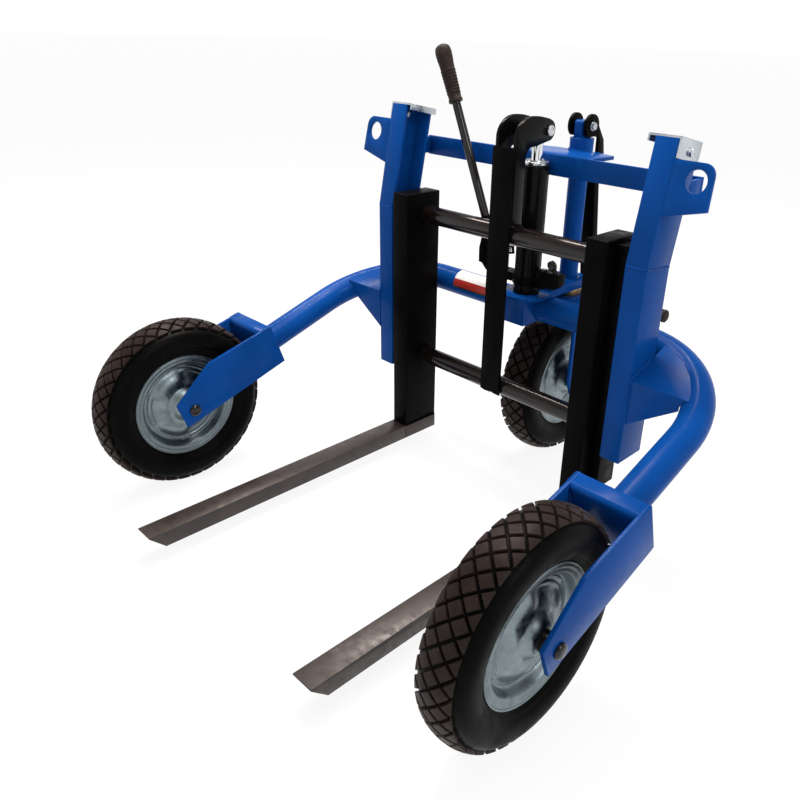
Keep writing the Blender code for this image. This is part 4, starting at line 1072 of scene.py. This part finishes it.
def build_steering():
    centre = (0.0, REAR_Y, 0.0)
    profile = rounded([(0.0, 0.4283, 0.0), (0.0225, 0.4283, 0.0008), (0.0225, 0.796, 0.001),
                       (0.0, 0.796, 0.0)], 0.0)
    bm = lathe(profile, "z", centre, 64)
    lug = [(REAR_Y - 0.019, 0.79), (REAR_Y + 0.019, 0.79), (REAR_Y + 0.019, HINGE_Z + 0.008),
           (REAR_Y + 0.015, HINGE_Z + 0.012), (REAR_Y - 0.015, HINGE_Z + 0.012),
           (REAR_Y - 0.019, HINGE_Z + 0.008)]
    prism(lug, "x", -0.011, 0.011, bm)
    new_piece("column_tube", bm, "steer", BLUE, ["steer_column"], bevel=0.0009)
    cad_piece("steer_fork", "steer_yoke", "steer", BLUE, bevel=0.0014)
    bm = bmesh.new()
    for side in BOTH:
        weld([(side * 0.0672, y, 0.4172) for y in (REAR_Y - 0.056, REAR_Y + 0.056)], 0.0028, bm)
        weld([(side * 0.0118, y, 0.7966) for y in (REAR_Y - 0.017, REAR_Y + 0.017)], 0.0018, bm)
    new_piece("steer_welds", bm, "steer", BLUE)


def build_drawbar():
    """Hanging arm with hinge cheeks, T-handle, grips and hinge bolt."""
    top = Vector((0.0, 0.457, 0.75))
    end = Vector((0.0, 0.51, 0.401))
    lean = math.atan2(end.y - top.y, top.z - end.z)
    sin, cos = math.sin(lean), math.cos(lean)

    def edge(point, shift):
        return (point.y + shift * cos, point.z + shift * sin)

    bar = [edge(top, -0.01), edge(top, 0.01), edge(end, 0.01), edge(end, -0.01)]
    bm = prism(bar, "x", -0.018, 0.018)
    cheek = arc(REAR_Y, HINGE_Z, 0.026, 0.0, 235.0, 34)
    cheek += [(0.406, 0.7992), (0.42, 0.799), (0.436, 0.7985), (0.443, 0.795),
              (0.444, 0.725), (0.478, 0.73), (0.464, 0.79)]
    for x0, x1 in ((-0.0255, -0.0175), (0.0175, 0.0255)):
        prism(cheek, "x", x0, x1, bm)
    new_piece("drawbar_arm", bm, "drawbar", BLACK, ["drawbar"], bevel=0.001)
    profile = rounded([(0.0, -0.224, 0.0), (0.01, -0.224), (0.01, 0.224),
                       (0.0, 0.224, 0.0)], 0.0006)
    new_piece("drawbar_cross", lathe(profile, "x", tuple(end), 40), "drawbar", GLOSS_BLACK_PAINTED_REFLECTION, ["drawbar"])
    grip = [(0.0103, 0.118), (0.0152, 0.118), (0.016, 0.1188), (0.016, 0.123), (0.0148, 0.1245)]
    for k in range(12):
        x = 0.129 + 0.0078 * k
        grip += [(0.0148, x - 0.0028), (0.0156, x - 0.0016), (0.0156, x + 0.0016), (0.0148, x + 0.0028)]
    grip += [(0.015, 0.22), (0.0158, 0.221), (0.016, 0.224), (0.015, 0.227),
             (0.012, 0.229), (0.0, 0.2295), (0.0, 0.2243), (0.0103, 0.2243)]
    for side, tag in SIDES:
        bm = sided(lathe(grip, "x", tuple(end), 48), side)
        new_piece("drawbar_sleeve_" + tag, bm, "drawbar", GRIP_RUBBER,
                  ["drawbar_grip_" + tag])
    bm = bmesh.new()
    for x in (0.0186, -0.0186):
        ring = arc(end.y, end.z, 0.0106, 0.0, 345.0, 23)
        weld([(x, y, z) for y, z in ring], 0.0022, bm, closed=True)
    new_piece("drawbar_welds", bm, "drawbar", BLACK)
    ends = 0.0258
    hinge = (0.0, REAR_Y, HINGE_Z)
    half = [(0.006, ends), (0.0098, ends), (0.01, ends + 0.0004), (0.01, ends + 0.0014)]
    bm = lathe(mirrored(half + [(0.0, ends + 0.0014)]), "x", hinge, 40)
    for low in (-ends - 0.0064, ends + 0.0014):
        hexagon(REAR_Y, HINGE_Z, 0.0086, 15.0, "x", low, low + 0.005, bm)
    new_piece("hinge_bolt", bm, "drawbar", BOLT_ZINC, ["drawbar_bolt"], bevel=0.0005)


# ---- studio

CAMERA_AT = (1.0313, -1.0997, 1.0091)
CAMERA_YAW = math.radians(43.546)
CAMERA_PITCH = math.radians(25.97)
CAMERA_ROLL = math.radians(1.774)
CAMERA_LENS = 33.82
CAMERA_SHIFT = (-0.0566, -0.0057)


def build_camera():
    data = bpy.data.cameras.new("camera")
    data.sensor_width = 36.0
    data.lens = CAMERA_LENS
    data.shift_x, data.shift_y = CAMERA_SHIFT
    data.clip_start = 0.02
    data.clip_end = 200.0
    camera = bpy.data.objects.new("camera", data)
    turn = (Matrix.Rotation(CAMERA_YAW, 4, "Z")
            @ Matrix.Rotation(0.5 * math.pi - CAMERA_PITCH, 4, "X")
            @ Matrix.Rotation(CAMERA_ROLL, 4, "Z"))
    camera.matrix_world = Matrix.Translation(CAMERA_AT) @ turn
    bpy.context.scene.collection.objects.link(camera)
    bpy.context.scene.camera = camera


def area_light(name, at, target, size, power, colour=(1.0, 1.0, 1.0)):
    """A rectangular light aimed at a target, or straight down with no target."""
    data = bpy.data.lights.new(name, "AREA")
    data.shape = "RECTANGLE"
    data.size, data.size_y = size
    data.energy = power
    data.color = colour
    light = bpy.data.objects.new(name, data)
    light.location = at
    if target is not None:
        light.rotation_euler = (Vector(target) - Vector(at)).to_track_quat("-Z", "Y").to_euler()
    light.visible_camera = False
    bpy.context.scene.collection.objects.link(light)


def build_studio():
    world = bpy.data.worlds.new("studio")
    world.use_nodes = True
    tree = world.node_tree
    backdrop = tree.nodes["Background"]
    backdrop.inputs["Color"].default_value = (1.0, 1.0, 1.0, 1.0)
    height = tree.nodes.new("ShaderNodeSeparateXYZ")
    fade = tree.nodes.new("ShaderNodeMapRange")
    # As a ray's z rises from 0.1 to 0.62, the backdrop dims from 1.05 to 0.42.
    for index, value in ((1, 0.1), (2, 0.62), (3, 1.05), (4, 0.42)):
        fade.inputs[index].default_value = value
    tree.links.new(tree.nodes.new("ShaderNodeTexCoord").outputs["Generated"], height.inputs[0])
    tree.links.new(height.outputs["Z"], fade.inputs[0])
    tree.links.new(fade.outputs[0], backdrop.inputs["Strength"])
    bpy.context.scene.world = world
    bpy.context.scene.view_settings.view_transform = "Standard"
    area_light("overhead", (0.2, 0.3, 3.0), (0.0, 0.0, 0.3), (1.8, 0.9), 30.0)
    area_light("key", (2.4, -0.2, 2.2), (0.0, 0.0, 0.4), (0.8, 0.8), 18.0)
    warm = (1.0, 0.86, 0.78)
    area_light("strip_x", (-1.3, 0.4, 2.5), None, (2.6, 0.26), 62.0, warm)
    area_light("strip_y", (-0.55, 0.8, 2.6), None, (0.2, 2.0), 36.0, warm)
    reach = 60.0
    corners = ((-reach, -reach), (reach, -reach), (reach, reach), (-reach, reach))
    mesh = bpy.data.meshes.new("studio_floor")
    mesh.from_pydata([(x, y, -0.0004) for x, y in corners], [], [(0, 1, 2, 3)])
    floor = bpy.data.objects.new("studio_floor", mesh)
    bpy.context.scene.collection.objects.link(floor)
    g = Graph("studio_floor", (0.14, 0.14, 0.14), 0.85, specular=0.05)
    g.put(g.shader, "Emission Color", (1.0, 1.0, 1.0, 1.0))
    g.put(g.shader, "Emission Strength", 0.88)
    mesh.materials.append(g.done(None, g.ramp(g.noise(3.0), 0.3, 0.7, 0.8, 0.9)))


def main():
    build_wheels()
    build_tube()
    for side, tag in SIDES:
        build_yoke(side, tag)
        build_mast(side, tag)
    build_cross()
    build_seat()
    build_label()
    build_carriage()
    build_channel()
    build_jack()
    build_lever()
    build_knob()
    build_steering()
    build_drawbar()
    build_camera()
    build_studio()


main()
